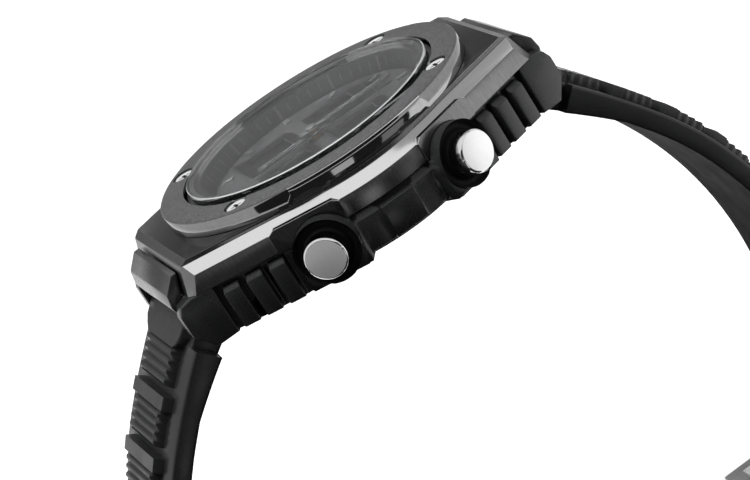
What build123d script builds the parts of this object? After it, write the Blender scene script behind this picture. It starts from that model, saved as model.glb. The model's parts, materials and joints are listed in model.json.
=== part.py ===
from build123d import *
import os
from math import cos, pi, radians, sin

os.makedirs("parts", exist_ok=True)

# All lengths are millimetres and all angles are degrees.
# The origin is the centre of the case back's outer face, +Z leaves the glass,
# +Y points to 12 o'clock and +X to 3 o'clock.

# Clearances and the overrun of every cut
seat_clearance = 0.05
running_clearance = 0.04
open_clearance = 0.3
overrun = 1.0

# Heights of the case
case_back_thickness = 1.2
body_foot_drop = 0.1
seam_height = 7.0
side_band_height = 2.35
bevel_height = 1.25
frame_step_height = 0.5
bezel_height = 2.2
glass_rise = 0.55

body_foot_height = case_back_thickness + body_foot_drop
bevel_foot_height = seam_height + side_band_height
bevel_top_height = bevel_foot_height + bevel_height
frame_top_height = bevel_top_height + frame_step_height
bezel_top_height = frame_top_height + bezel_height
glass_top_height = bezel_top_height + glass_rise

# Inner case that holds the works
case_radius = 18.5
case_wall = 2.5
neck_inset = 1.1
neck_wall = 0.8
neck_drop = 0.6
shoulder_cover = 1.35
glass_ledge_depth = 1.5

case_bore_radius = case_radius - case_wall
neck_radius = case_radius - neck_inset
neck_bore_radius = neck_radius - neck_wall
neck_top_height = bezel_top_height - neck_drop
case_shoulder_height = frame_top_height - shoulder_cover
glass_ledge_height = neck_top_height - glass_ledge_depth

# Plan of the case: an octagon with long flanks and a bowed middle
flank_angle = 26.4
flank_wall = 3.66
side_wall = 4.5
end_wall = 6.8
waist_half_length = 6.67
corner_cut = 0.3

flank_distance = case_radius + flank_wall
side_half_width = case_radius + side_wall
case_half_length = case_radius + end_wall

flank_cos = cos(radians(flank_angle))
flank_sin = sin(radians(flank_angle))


def flank_x(y, inset):
    return (flank_distance - inset - y * flank_sin) / flank_cos


def case_plan(height, half_length, inset):
    # the outline of the case drawn inwards by the inset, its four end corners cut
    cut_y = half_length - corner_cut * flank_cos
    corner = (flank_x(half_length, inset) - corner_cut, half_length)
    shoulder = (flank_x(cut_y, inset), cut_y)
    waist = (flank_x(waist_half_length, inset), waist_half_length)
    right = [corner, shoulder, waist]
    right_low = [(x, -y) for x, y in reversed(right)]
    left_low = [(-x, -y) for x, y in right]
    left = [(-x, y) for x, y in reversed(right)]
    with BuildSketch(Plane.XY.offset(height)) as plan:
        with BuildLine():
            Polyline(*right)
            ThreePointArc(right[-1], (side_half_width - inset, 0), right_low[0])
            Polyline(*right_low, *left_low)
            ThreePointArc(left_low[-1], (inset - side_half_width, 0), left[0])
            Polyline(*left, right[0])
        make_face()
    return plan.sketch


# A plane on the flank near 2 o'clock: X runs along it to 12 o'clock, Y up, Z outwards
flank = Plane(
    origin=(flank_x(waist_half_length, 0), waist_half_length, 0),
    x_dir=(-flank_sin, flank_cos, 0),
    z_dir=(flank_cos, flank_sin, 0),
)


def four_ways(piece):
    # the pieces at 2, 10, 4 and 8 o'clock
    across = mirror(piece, about=Plane.YZ)
    return [piece, across, mirror(piece, about=Plane.XZ), mirror(across, about=Plane.XZ)]


# Pushers, placed along the flank and below the seam
pusher_along = 2.8
pusher_drop = 2.0
pusher_radius = 2.6
pusher_head_length = 2.9
pusher_proud = 2.1
pusher_rim = 0.25
pusher_stem_radius = 0.9
pusher_collar_radius = 1.35
pusher_collar_length = 0.5
boss_wall = 1.5
boss_reach = 2.0
boss_skirt_inset = 0.5
boss_skirt_foot_rise = 0.5
spring_seat_depth = 1.5
spring_wire_radius = 0.1
spring_turns = 4

pusher_height = seam_height - pusher_drop
pusher_reach = boss_reach + pusher_proud
boss_radius = pusher_radius + boss_wall
boss_skirt_reach = boss_reach - boss_skirt_inset
pusher_axis = flank.shift_origin(flank.from_local_coords((pusher_along, pusher_height, 0)))

with BuildPart() as pusher_bore:
    with BuildSketch(pusher_axis.offset(-spring_seat_depth)):
        Circle(pusher_radius + running_clearance)
    extrude(amount=spring_seat_depth + boss_reach + overrun)
    with BuildSketch(pusher_axis.offset(-spring_seat_depth)):
        Circle(pusher_stem_radius + running_clearance)
    extrude(amount=-(flank_distance - case_bore_radius + overrun - spring_seat_depth))

# Outer case of matt resin with its grips, pusher bosses and strap horns
body_inset = 0.9
horn_foot_drop = 1.1
horn_length = 2.1
horn_nose_drop = 1.7
horn_nose_height = 2.7
horn_shoulder_drop = 0.5
horn_shoulder_inset = 0.6
horn_belly_length = 0.5
flank_foot_drop = 0.6
horn_tip_inset = 1.9
strap_gap_half_width = 9.1
strap_gap_wall = 3.3
tooth_pitch = 3.15
tooth_length = 2.2
tooth_first = 8.4
tooth_count = 3
tooth_reach = 0.3
tooth_foot_rise = 0.1
tooth_edge_drop = 1.3
tooth_slope = 0.7
tooth_gap = 0.95
pad_half_length = 2.3
pad_reach = 0.75
pad_drop = 0.8
pad_foot_rise = 0.5
pad_crease_drop = 2.1
pad_lean = 0.65
rail_drop = 0.25
rail_half_length = 6.2

horn_foot_height = body_foot_height - horn_foot_drop
horn_reach = case_half_length + horn_length
horn_nose_high = seam_height - horn_nose_drop
horn_nose_low = horn_nose_high - horn_nose_height
horn_shoulder_height = seam_height - horn_shoulder_drop
horn_shoulder_reach = horn_reach - horn_shoulder_inset
flank_foot_height = body_foot_height - flank_foot_drop
horn_tip = horn_reach - horn_tip_inset
strap_gap_start = case_radius + strap_gap_wall
horn_belly = strap_gap_start + horn_belly_length
tooth_foot_height = flank_foot_height + tooth_foot_rise
boss_skirt_foot_height = flank_foot_height + boss_skirt_foot_rise
tooth_edge_height = seam_height - tooth_edge_drop
corner_block_start = tooth_first + tooth_count * tooth_pitch + tooth_gap - (tooth_pitch - tooth_length)
pad_top_height = seam_height - pad_drop
pad_foot_height = body_foot_height + pad_foot_rise
rail_top_height = seam_height - rail_drop

with BuildPart() as flank_details:
    for tooth in range(tooth_count):
        tooth_start = tooth_first + tooth * tooth_pitch
        tooth_plane = Plane(
            origin=flank.from_local_coords((tooth_start, 0, 0)),
            x_dir=flank.z_dir,
            z_dir=flank.x_dir,
        )
        with BuildSketch(tooth_plane):
            # local X leaves the flank and local Y points down
            Polygon(
                (-body_inset - overrun, -tooth_foot_height),
                (tooth_reach, -tooth_foot_height),
                (tooth_reach, -tooth_edge_height),
                (tooth_reach - tooth_slope, -tooth_edge_height - tooth_slope),
                (-body_inset - overrun, -tooth_edge_height - tooth_slope),
                align=None,
            )
        extrude(amount=tooth_length)
    with BuildSketch(flank.offset(-body_inset - overrun)):
        with Locations((corner_block_start, 0)):
            Rectangle(case_half_length, seam_height, align=(Align.MIN, Align.MIN))
    extrude(amount=body_inset + overrun)
    with BuildSketch(pusher_axis.offset(-body_inset - overrun)):
        Circle(boss_radius)
    extrude(amount=body_inset + overrun + boss_reach)
    with BuildSketch(pusher_axis.offset(-body_inset - overrun)):
        Rectangle(
            2 * boss_radius, pusher_height - boss_skirt_foot_height, align=(Align.CENTER, Align.MAX)
        )
    extrude(amount=body_inset + overrun + boss_skirt_reach)

with BuildPart() as side_pads:
    with BuildSketch(Plane.XZ):
        for side in (-1, 1):
            Polygon(
                (0, pad_foot_height),
                (side * (side_half_width + pad_reach - pad_lean), pad_foot_height),
                (side * (side_half_width + pad_reach), pad_top_height - pad_crease_drop),
                (side * (side_half_width + pad_reach), pad_top_height),
                (0, pad_top_height),
                align=None,
            )
    extrude(amount=pad_half_length, both=True)

with BuildPart() as side_rails:
    extrude(
        case_plan(pad_foot_height, case_half_length, 0),
        amount=rail_top_height - body_inset - pad_foot_height,
    )
    loft(
        [
            case_plan(rail_top_height - body_inset, case_half_length, 0).face(),
            case_plan(rail_top_height, case_half_length, body_inset).face(),
        ],
        ruled=True,
    )
    with BuildSketch(Plane.XY.offset(pad_foot_height)):
        Rectangle(2 * side_half_width, 2 * rail_half_length)
    extrude(amount=seam_height, mode=Mode.INTERSECT)

# Screws that hold the metal frame from below
frame_screw_inset = 3.09
frame_screw_setback = 4.3
frame_screw_radius = 0.6
frame_screw_head_radius = 1.1
frame_screw_head_height = 0.9
frame_screw_bite = 1.8

frame_screw_top_height = seam_height + frame_screw_bite
frame_screw_y = strap_gap_start - frame_screw_setback
frame_screw_x = flank_x(frame_screw_y, frame_screw_inset)
frame_screw_points = [
    (x, y) for x in (-frame_screw_x, frame_screw_x) for y in (-frame_screw_y, frame_screw_y)
]

# Blocks at 12 and 6 o'clock, each with a foot held under the frame
block_side_gap = 0.1
block_gap = 0.3
block_back_slope = 0.7
block_top_drop = 1.3
block_top_length = 0.1
block_nose_length = 1.8
block_nose_drop = 1.8
block_chin_length = 2.1
block_chin_drop = 0.6
block_foot_thickness = 1.6
block_foot_inset = 0.4
block_foot_gap = 1.1
frame_end_slope = 1.15
frame_end_chamfer_length = 1.0
frame_end_chamfer_drop = 0.6

block_half_width = strap_gap_half_width - block_side_gap
block_top_height = frame_top_height - block_top_drop
block_top_reach = case_half_length + block_top_length
block_nose_reach = case_half_length + block_nose_length
block_nose_height = block_top_height - block_nose_drop
block_chin_reach = case_half_length + block_chin_length
block_chin_height = seam_height - block_chin_drop
block_foot_top_height = seam_height - block_side_gap
block_foot_height = block_foot_top_height - block_foot_thickness
block_foot_half_width = block_half_width - block_foot_inset
block_foot_start = case_radius + block_foot_gap
frame_end_edge = case_half_length - frame_end_slope
frame_end_top = frame_end_edge - frame_end_chamfer_length

# Spring bars that carry the strap
bar_setback = 2.8
bar_rise = 2.6
bar_radius = 0.75
bar_tip_radius = 0.4
bar_tip_length = 1.4

bar_reach = strap_gap_start + bar_setback
bar_height = horn_foot_height + bar_rise

body_flanks = four_ways(flank_details.part)
body_bores = four_ways(pusher_bore.part)

with BuildPart() as resin_body:
    extrude(case_plan(horn_foot_height, horn_reach, body_inset), amount=seam_height - horn_foot_height)
    add(body_flanks)
    add(side_pads.part)
    add(side_rails.part)
    with BuildSketch(Plane.YZ):
        for side in (-1, 1):
            Polygon(
                (0, body_foot_height),
                (side * waist_half_length, body_foot_height),
                (side * (waist_half_length + flank_foot_drop), flank_foot_height),
                (side * horn_belly, flank_foot_height),
                (side * horn_tip, horn_foot_height),
                (side * horn_reach, horn_nose_low),
                (side * horn_reach, horn_nose_high),
                (side * horn_shoulder_reach, horn_shoulder_height),
                (side * case_half_length, seam_height),
                (side * (case_half_length - block_gap), pusher_height + boss_radius + overrun),
                (0, pusher_height + boss_radius + overrun),
                align=None,
            )
    extrude(amount=side_half_width + pusher_reach + overrun, both=True, mode=Mode.INTERSECT)
    with BuildSketch(Plane.XY):
        Circle(case_radius + seat_clearance)
    extrude(amount=pusher_height + boss_radius + overrun, mode=Mode.SUBTRACT)
    for side in (-1, 1):
        with BuildSketch(Plane.XZ.offset(-side * strap_gap_start)):
            Rectangle(2 * strap_gap_half_width, 2 * seam_height + overrun)
        extrude(amount=-side * (horn_reach - strap_gap_start + overrun), mode=Mode.SUBTRACT)
        with BuildSketch(Plane.XZ.offset(-side * (block_foot_start - seat_clearance))):
            with Locations((0, block_foot_height - seat_clearance)):
                Rectangle(
                    2 * (block_foot_half_width + seat_clearance),
                    seam_height - block_foot_height + overrun,
                    align=(Align.CENTER, Align.MIN),
                )
        extrude(amount=-side * (strap_gap_start - block_foot_start + overrun), mode=Mode.SUBTRACT)
        with BuildSketch(Plane.YZ):
            with Locations((side * bar_reach, bar_height)):
                Circle(bar_tip_radius + seat_clearance)
        extrude(
            amount=strap_gap_half_width + bar_tip_length + seat_clearance,
            both=True,
            mode=Mode.SUBTRACT,
        )
    add(body_bores, mode=Mode.SUBTRACT)
    with BuildSketch(Plane.XY.offset(body_foot_height)):
        with Locations(*frame_screw_points):
            Circle(frame_screw_radius + seat_clearance)
    extrude(amount=seam_height, mode=Mode.SUBTRACT)
    with BuildSketch(Plane.XY.offset(body_foot_height + frame_screw_head_height)):
        with Locations(*frame_screw_points):
            Circle(frame_screw_head_radius + seat_clearance)
    extrude(amount=-(frame_screw_head_height + flank_foot_drop + overrun), mode=Mode.SUBTRACT)

with BuildPart() as frame_screws:
    with BuildSketch(Plane.XY.offset(body_foot_height)):
        with Locations(*frame_screw_points):
            Circle(frame_screw_head_radius)
    extrude(amount=frame_screw_head_height)
    with BuildSketch(Plane.XY.offset(body_foot_height)):
        with Locations(*frame_screw_points):
            Circle(frame_screw_radius)
    extrude(amount=frame_screw_top_height - body_foot_height)
    with BuildSketch(Plane.XY.offset(body_foot_height)):
        with Locations(*frame_screw_points):
            Rectangle(frame_screw_head_radius, frame_screw_radius / 2)
            Rectangle(frame_screw_radius / 2, frame_screw_head_radius)
    extrude(amount=frame_screw_head_height / 2, mode=Mode.SUBTRACT)

# Screws of the bezel, seen from above
bezel_overhang = 2.5
bezel_edge = 0.25
bezel_gap = 0.2
bezel_screw_inset = 2.13
bezel_screw_angle = 50.9
bezel_screw_head_radius = 1.3
bezel_screw_recess_radius = 1.5
bezel_screw_recess_depth = 0.75
bezel_screw_head_height = 0.55
bezel_screw_shank_radius = 0.6
bezel_screw_cross_length = 1.5
bezel_screw_cross_width = 0.4

bezel_radius = case_radius + bezel_overhang
bezel_screw_circle = bezel_radius - bezel_screw_inset
bezel_screw_points = [
    (
        side_x * bezel_screw_circle * cos(radians(bezel_screw_angle)),
        side_y * bezel_screw_circle * sin(radians(bezel_screw_angle)),
    )
    for side_x in (-1, 1)
    for side_y in (-1, 1)
]
bezel_screw_seat_height = bezel_top_height - bezel_screw_recess_depth

# Metal frame over the resin case
bevel_inset = 1.35
frame_step_inset = 0.15
tab_start = -1.2
tab_end = 7.6
tab_slant = 0.9
tab_rise = 0.5
tab_reach = 0.25
arch_gap = 0.1
corner_bearing = 63
corner_tilt = 17.7
corner_distance = 28.41

tab_top_height = bevel_foot_height + tab_rise
corner_run = cos(radians(corner_tilt))
corner_normal = (
    corner_run * cos(radians(corner_bearing)),
    corner_run * sin(radians(corner_bearing)),
    sin(radians(corner_tilt)),
)

with BuildPart() as frame_tab:
    with BuildSketch(flank.offset(-bevel_inset)):
        Polygon(
            (tab_start, seam_height),
            (tab_end + tab_slant, seam_height),
            (tab_end + tab_slant, bevel_foot_height),
            (tab_end, tab_top_height),
            (tab_start + tab_slant, tab_top_height),
            (tab_start, bevel_foot_height),
            align=None,
        )
    extrude(amount=bevel_inset + tab_reach)

with BuildPart() as frame_arch:
    with BuildSketch(pusher_axis.offset(case_radius - flank_distance - overrun)):
        Circle(boss_radius + arch_gap)
    extrude(amount=flank_distance - case_radius + 2 * overrun)

frame_tabs = four_ways(frame_tab.part)
frame_arches = four_ways(frame_arch.part)

with BuildPart() as case_frame:
    extrude(case_plan(seam_height, case_half_length, 0), amount=side_band_height)
    loft(
        [
            case_plan(bevel_foot_height, case_half_length, 0).face(),
            case_plan(bevel_top_height, case_half_length, bevel_inset).face(),
        ],
        ruled=True,
    )
    extrude(
        case_plan(bevel_top_height, case_half_length, bevel_inset + frame_step_inset),
        amount=frame_step_height,
    )
    add(frame_tabs)
    with BuildSketch(Plane.YZ):
        for side in (-1, 1):
            Polygon(
                (side * case_half_length, seam_height),
                (side * frame_end_edge, frame_top_height - frame_end_chamfer_drop),
                (side * frame_end_top, frame_top_height),
                (side * frame_end_top, frame_top_height + overrun),
                (side * (case_half_length + overrun), frame_top_height + overrun),
                (side * (case_half_length + overrun), seam_height),
                align=None,
            )
    extrude(amount=side_half_width, both=True, mode=Mode.SUBTRACT)
    for side_x in (-1, 1):
        for side_y in (-1, 1):
            away = (side_x * corner_normal[0], side_y * corner_normal[1], corner_normal[2])
            split(
                bisect_by=Plane(origin=[corner_distance * step for step in away], z_dir=away),
                keep=Keep.BOTTOM,
            )
    with BuildSketch(Plane.XY.offset(seam_height)):
        Circle(case_radius + seat_clearance)
    extrude(amount=case_shoulder_height + seat_clearance - seam_height, mode=Mode.SUBTRACT)
    with BuildSketch(Plane.XY.offset(seam_height)):
        Circle(neck_radius + bezel_gap)
    extrude(amount=frame_top_height - seam_height + overrun, mode=Mode.SUBTRACT)
    add(frame_arches, mode=Mode.SUBTRACT)
    with BuildSketch(Plane.XY.offset(seam_height)):
        with Locations(*frame_screw_points):
            Circle(frame_screw_radius + seat_clearance)
    extrude(amount=frame_screw_top_height - seam_height + seat_clearance, mode=Mode.SUBTRACT)
    with BuildSketch(Plane.XY.offset(case_shoulder_height)):
        with Locations(*bezel_screw_points):
            Circle(bezel_screw_shank_radius + seat_clearance)
    extrude(amount=frame_top_height - case_shoulder_height + overrun, mode=Mode.SUBTRACT)

with BuildPart() as bezel_ring:
    with BuildSketch(Plane.XY.offset(frame_top_height)):
        Circle(bezel_radius)
        Circle(neck_radius + bezel_gap, mode=Mode.SUBTRACT)
    extrude(amount=bezel_height)
    chamfer(bezel_ring.edges().group_by(Axis.Z)[-1].sort_by(SortBy.RADIUS)[-1], length=bezel_edge)
    with BuildSketch(Plane.XY.offset(bezel_screw_seat_height)):
        with Locations(*bezel_screw_points):
            Circle(bezel_screw_recess_radius)
    extrude(amount=bezel_screw_recess_depth + overrun, mode=Mode.SUBTRACT)
    with BuildSketch(Plane.XY.offset(frame_top_height)):
        with Locations(*bezel_screw_points):
            Circle(bezel_screw_shank_radius + seat_clearance)
    extrude(amount=bezel_height, mode=Mode.SUBTRACT)

with BuildPart() as bezel_screws:
    with BuildSketch(Plane.XY.offset(bezel_screw_seat_height)):
        with Locations(*bezel_screw_points):
            Circle(bezel_screw_head_radius)
    extrude(amount=bezel_screw_head_height)
    with BuildSketch(Plane.XY.offset(case_shoulder_height + seat_clearance)):
        with Locations(*bezel_screw_points):
            Circle(bezel_screw_shank_radius)
    extrude(amount=bezel_screw_seat_height - case_shoulder_height - seat_clearance)
    with BuildSketch(Plane.XY.offset(bezel_screw_seat_height + bezel_screw_head_height)):
        with Locations(*bezel_screw_points):
            Rectangle(bezel_screw_cross_length, bezel_screw_cross_width)
            Rectangle(bezel_screw_cross_width, bezel_screw_cross_length)
    extrude(amount=-bezel_screw_head_height / 2, mode=Mode.SUBTRACT)

with BuildPart() as end_block_12:
    with BuildSketch(Plane.YZ):
        Polygon(
            (case_half_length + block_gap, block_foot_top_height),
            (case_half_length - block_back_slope, block_top_height),
            (block_top_reach, block_top_height),
            (block_nose_reach, block_nose_height),
            (block_chin_reach, block_chin_height),
            (block_chin_reach - block_gap, block_foot_height),
            (case_half_length + block_gap, block_foot_height),
            align=None,
        )
    extrude(amount=block_half_width, both=True)
    with BuildSketch(Plane.YZ):
        Polygon(
            (block_foot_start, block_foot_height),
            (block_foot_start, block_foot_top_height),
            (case_half_length + block_gap, block_foot_top_height),
            (case_half_length + block_gap, block_foot_height),
            align=None,
        )
    extrude(amount=block_foot_half_width, both=True)
end_block_6 = mirror(end_block_12.part, about=Plane.XZ)

# Round inner parts: case, glass, seals and dial
gasket_width = 0.5
gasket_height = 0.4
gasket_inset = 0.5
back_screw_inset = 1.1
back_screw_radius = 0.4
back_screw_head_radius = 0.8
back_screw_head_height = 0.6
back_screw_length = 3.4
back_screw_count = 4
back_screw_start = 45
back_edge_gap = 0.1
back_step_inset = 4.4
back_step_depth = 0.3
crystal_gasket_wall = 0.7
glass_lap = 0.3
glass_edge = 0.2

gasket_radius = case_bore_radius + gasket_inset
back_screw_circle = case_radius - back_screw_inset
back_radius = case_radius - back_edge_gap
back_step_radius = back_radius - back_step_inset
plug_radius = neck_bore_radius - crystal_gasket_wall
glass_radius = neck_bore_radius + glass_lap
glass_plug_depth = glass_ledge_depth + seat_clearance

with BuildPart() as mid_case:
    with BuildSketch(Plane.XY.offset(case_back_thickness)):
        Circle(case_radius)
    extrude(amount=case_shoulder_height - case_back_thickness)
    with BuildSketch(Plane.XY.offset(case_shoulder_height)):
        Circle(neck_radius)
    extrude(amount=neck_top_height - case_shoulder_height)
    with BuildSketch(Plane.XY.offset(case_back_thickness)):
        Circle(case_bore_radius)
    extrude(amount=neck_top_height - case_back_thickness, mode=Mode.SUBTRACT)
    with BuildSketch(Plane.XY.offset(glass_ledge_height)):
        Circle(neck_bore_radius)
    extrude(amount=neck_top_height - glass_ledge_height, mode=Mode.SUBTRACT)
    with BuildSketch(Plane.XY.offset(case_back_thickness)):
        Circle(gasket_radius + gasket_width / 2 + seat_clearance)
        Circle(gasket_radius - gasket_width / 2 - seat_clearance, mode=Mode.SUBTRACT)
    extrude(amount=gasket_height + seat_clearance, mode=Mode.SUBTRACT)
    with BuildSketch(Plane.XY.offset(case_back_thickness)):
        with PolarLocations(back_screw_circle, back_screw_count, start_angle=back_screw_start):
            Circle(back_screw_radius + seat_clearance)
    extrude(amount=back_screw_length, mode=Mode.SUBTRACT)
    add(body_bores, mode=Mode.SUBTRACT)

with BuildPart() as case_back:
    with BuildSketch(Plane.XY):
        Circle(back_radius)
    extrude(amount=case_back_thickness)
    with BuildSketch(Plane.XY):
        Circle(back_radius)
        Circle(back_step_radius, mode=Mode.SUBTRACT)
    extrude(amount=back_step_depth, mode=Mode.SUBTRACT)
    with BuildSketch(Plane.XY):
        with PolarLocations(back_screw_circle, back_screw_count, start_angle=back_screw_start):
            Circle(back_screw_radius + seat_clearance)
    extrude(amount=case_back_thickness, mode=Mode.SUBTRACT)
    with BuildSketch(Plane.XY):
        with PolarLocations(back_screw_circle, back_screw_count, start_angle=back_screw_start):
            Circle(back_screw_head_radius + seat_clearance)
    extrude(amount=back_step_depth + back_screw_head_height, mode=Mode.SUBTRACT)

with BuildPart() as case_back_screws:
    with BuildSketch(Plane.XY.offset(back_step_depth)):
        with PolarLocations(back_screw_circle, back_screw_count, start_angle=back_screw_start):
            Circle(back_screw_head_radius)
    extrude(amount=back_screw_head_height)
    with BuildSketch(Plane.XY.offset(back_step_depth)):
        with PolarLocations(back_screw_circle, back_screw_count, start_angle=back_screw_start):
            Circle(back_screw_radius)
    extrude(amount=back_screw_length)
    with BuildSketch(Plane.XY.offset(back_step_depth)):
        with PolarLocations(back_screw_circle, back_screw_count, start_angle=back_screw_start):
            Rectangle(back_screw_head_radius, back_screw_radius / 2)
            Rectangle(back_screw_radius / 2, back_screw_head_radius)
    extrude(amount=back_screw_head_height / 2, mode=Mode.SUBTRACT)

with BuildPart() as case_back_gasket:
    with BuildSketch(Plane.XY.offset(case_back_thickness)):
        Circle(gasket_radius + gasket_width / 2)
        Circle(gasket_radius - gasket_width / 2, mode=Mode.SUBTRACT)
    extrude(amount=gasket_height)

with BuildPart() as crystal:
    with BuildSketch(Plane.XY.offset(neck_top_height + seat_clearance)):
        Circle(glass_radius)
    extrude(amount=glass_top_height - neck_top_height - seat_clearance)
    chamfer(crystal.edges().group_by(Axis.Z)[-1], length=glass_edge)
    with BuildSketch(Plane.XY.offset(neck_top_height + seat_clearance)):
        Circle(plug_radius)
    extrude(amount=-glass_plug_depth)

with BuildPart() as crystal_gasket:
    with BuildSketch(Plane.XY.offset(glass_ledge_height)):
        Circle(neck_bore_radius - seat_clearance)
        Circle(plug_radius + seat_clearance, mode=Mode.SUBTRACT)
    extrude(amount=neck_top_height - glass_ledge_height)

# Works: board, motor, display and dial
module_inset = 2.0
board_thickness = 0.5
module_space = 2.6
plate_thickness = 0.8
module_wall = 0.9
display_thickness = 1.0
display_inset = 4.6
display_corner = 1.2
dial_thickness = 0.4
dial_inset = 0.4
window_x = 5.3
window_y = 4.9
window_width = 6.6
window_length = 5.4
small_window_inset = 5.2
small_window_width = 4.2
small_window_length = 1.6
chapter_inset = 0.1
chapter_height = 2.35
chapter_foot_width = 1.6
chapter_lip_width = 0.7
marker_inset = 1.4
marker_length = 1.6
marker_width = 0.8
marker_thickness = 0.25
marker_count = 12

module_radius = case_bore_radius - module_inset
display_half_width = module_radius - display_inset
dial_radius = case_bore_radius - dial_inset
small_window_y = dial_radius - small_window_inset
chapter_radius = case_bore_radius - chapter_inset
chapter_foot_radius = chapter_radius - chapter_foot_width
chapter_lip_radius = chapter_radius - chapter_lip_width
marker_circle = chapter_foot_radius - marker_inset
dial_top_height = glass_ledge_height - seat_clearance - chapter_height
dial_height = dial_top_height - dial_thickness
display_height = dial_height - seat_clearance - display_thickness
plate_height = display_height - seat_clearance - plate_thickness
board_top_height = plate_height - module_space
board_height = board_top_height - board_thickness

# Wheels: the pitch circles touch, and both stages from the minute arbor to the hour wheel are concentric
gear_module = 0.16
centre_teeth = 40
cannon_teeth = 10
minute_teeth = 30
minute_pinion_teeth = 8
hour_teeth = 32
intermediate_teeth = 36
intermediate_pinion_teeth = 8
rotor_teeth = 8
wheel_thickness = 0.25
pinion_thickness = 0.45
pivot_radius = 0.25
arbor_radius = 0.4
hour_tube_radius = 0.7
hour_tube_gap = 0.4
rotor_angle = 220
magnet_radius = 1.2
magnet_length = 0.8
centre_wheel_rise = 0.4
intermediate_rise = 0.45
cannon_rise = 0.35
hour_wheel_rise = 0.65
tip_share = 0.75
root_share = 1.1
tooth_root_share = 0.5
tooth_tip_share = 0.2

intermediate_x = -gear_module * (centre_teeth + intermediate_pinion_teeth) / 2
rotor_distance = gear_module * (intermediate_teeth + rotor_teeth) / 2
rotor_x = intermediate_x + rotor_distance * cos(radians(rotor_angle))
rotor_y = rotor_distance * sin(radians(rotor_angle))
minute_wheel_y = gear_module * (cannon_teeth + minute_teeth) / 2
arbor_foot_height = board_top_height + seat_clearance
arbor_head_height = plate_height - seat_clearance
centre_wheel_height = board_top_height + centre_wheel_rise
intermediate_height = centre_wheel_height + intermediate_rise
cannon_height = intermediate_height + cannon_rise
magnet_height = cannon_height
hour_wheel_height = cannon_height + hour_wheel_rise
display_hole_radius = hour_tube_radius + hour_tube_gap + seat_clearance
dial_hole_radius = hour_tube_radius + hour_tube_gap


def gear_face(centre, height, teeth, phase):
    # straight-sided teeth of one module, the first one at the phase angle
    pitch = pi * gear_module
    root_radius = gear_module * (teeth / 2 - root_share)
    tooth_height = gear_module * (root_share + tip_share)
    with BuildSketch(Plane(origin=(*centre, height))) as face:
        Circle(root_radius)
        with PolarLocations(root_radius, teeth, start_angle=phase):
            Polygon(
                (-tooth_height / 2, -pitch * tooth_root_share / 2),
                (tooth_height, -pitch * tooth_tip_share / 2),
                (tooth_height, pitch * tooth_tip_share / 2),
                (-tooth_height / 2, pitch * tooth_root_share / 2),
                align=None,
            )
    return face.sketch


centre = (0, 0)
intermediate = (intermediate_x, 0)
rotor = (rotor_x, rotor_y)
minute_place = (0, minute_wheel_y)

# Hands: the long one at 12 and the short one at 6
hand_gap = 0.6
hand_spacing = 0.55
hand_thickness = 0.22
hand_hub_wall = 0.3
hour_hand_length = 8.2
minute_hand_length = 11.6
hour_hand_width = 1.5
minute_hand_width = 1.2
hand_tail = 1.8
hand_slot_width = 0.5

hand_hub_radius = hour_tube_radius + hand_hub_wall
hour_hand_height = dial_top_height + hand_gap
minute_hand_height = hour_hand_height + hand_spacing

with BuildPart() as centre_wheel:
    extrude(gear_face(centre, centre_wheel_height, centre_teeth, 0), amount=wheel_thickness)
    extrude(gear_face(centre, cannon_height, cannon_teeth, 90), amount=pinion_thickness)
    with BuildSketch(Plane.XY.offset(arbor_foot_height)):
        Circle(arbor_radius)
    extrude(amount=minute_hand_height + 2 * hand_thickness - arbor_foot_height)

with BuildPart() as hour_wheel:
    extrude(gear_face(centre, hour_wheel_height, hour_teeth, 0), amount=wheel_thickness)
    with BuildSketch(Plane.XY.offset(hour_wheel_height)):
        Circle(hour_tube_radius)
    extrude(amount=hour_hand_height + hand_thickness - hour_wheel_height)
    with BuildSketch(Plane.XY.offset(hour_wheel_height)):
        Circle(arbor_radius + running_clearance)
    extrude(amount=hour_hand_height + hand_thickness - hour_wheel_height, mode=Mode.SUBTRACT)

with BuildPart() as minute_wheel:
    extrude(gear_face(minute_place, cannon_height, minute_teeth, 0), amount=wheel_thickness)
    extrude(
        gear_face(minute_place, cannon_height, minute_pinion_teeth, 180 / minute_pinion_teeth),
        amount=hour_wheel_height + wheel_thickness - cannon_height,
    )
    with BuildSketch(Plane.XY.offset(arbor_head_height)):
        with Locations(minute_place):
            Circle(pivot_radius)
    extrude(amount=centre_wheel_height + wheel_thickness + running_clearance - arbor_head_height)

with BuildPart() as intermediate_wheel:
    extrude(gear_face(intermediate, intermediate_height, intermediate_teeth, 0), amount=wheel_thickness)
    extrude(
        gear_face(
            intermediate, centre_wheel_height, intermediate_pinion_teeth, 180 / intermediate_pinion_teeth
        ),
        amount=intermediate_height - centre_wheel_height,
    )
    with BuildSketch(Plane.XY.offset(arbor_foot_height)):
        with Locations(intermediate):
            Circle(pivot_radius)
    extrude(amount=arbor_head_height - arbor_foot_height)

with BuildPart() as motor_rotor:
    extrude(
        gear_face(rotor, intermediate_height, rotor_teeth, rotor_angle + 180 / rotor_teeth),
        amount=magnet_height - intermediate_height,
    )
    with BuildSketch(Plane.XY.offset(magnet_height)):
        with Locations(rotor):
            Circle(magnet_radius)
    extrude(amount=magnet_length)
    with BuildSketch(Plane.XY.offset(arbor_foot_height)):
        with Locations(rotor):
            Circle(pivot_radius)
    extrude(amount=arbor_head_height - arbor_foot_height)

stator_gap = 0.3
stator_rise = 0.15
stator_thickness = 0.5
stator_half_width = 1.9
stator_half_length = 3.5
coil_inset = 6.6
coil_radius = 1.0
coil_half_length = 2.4
core_width = 0.9

stator_height = magnet_height + stator_rise
coil_y = coil_inset - module_radius

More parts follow.
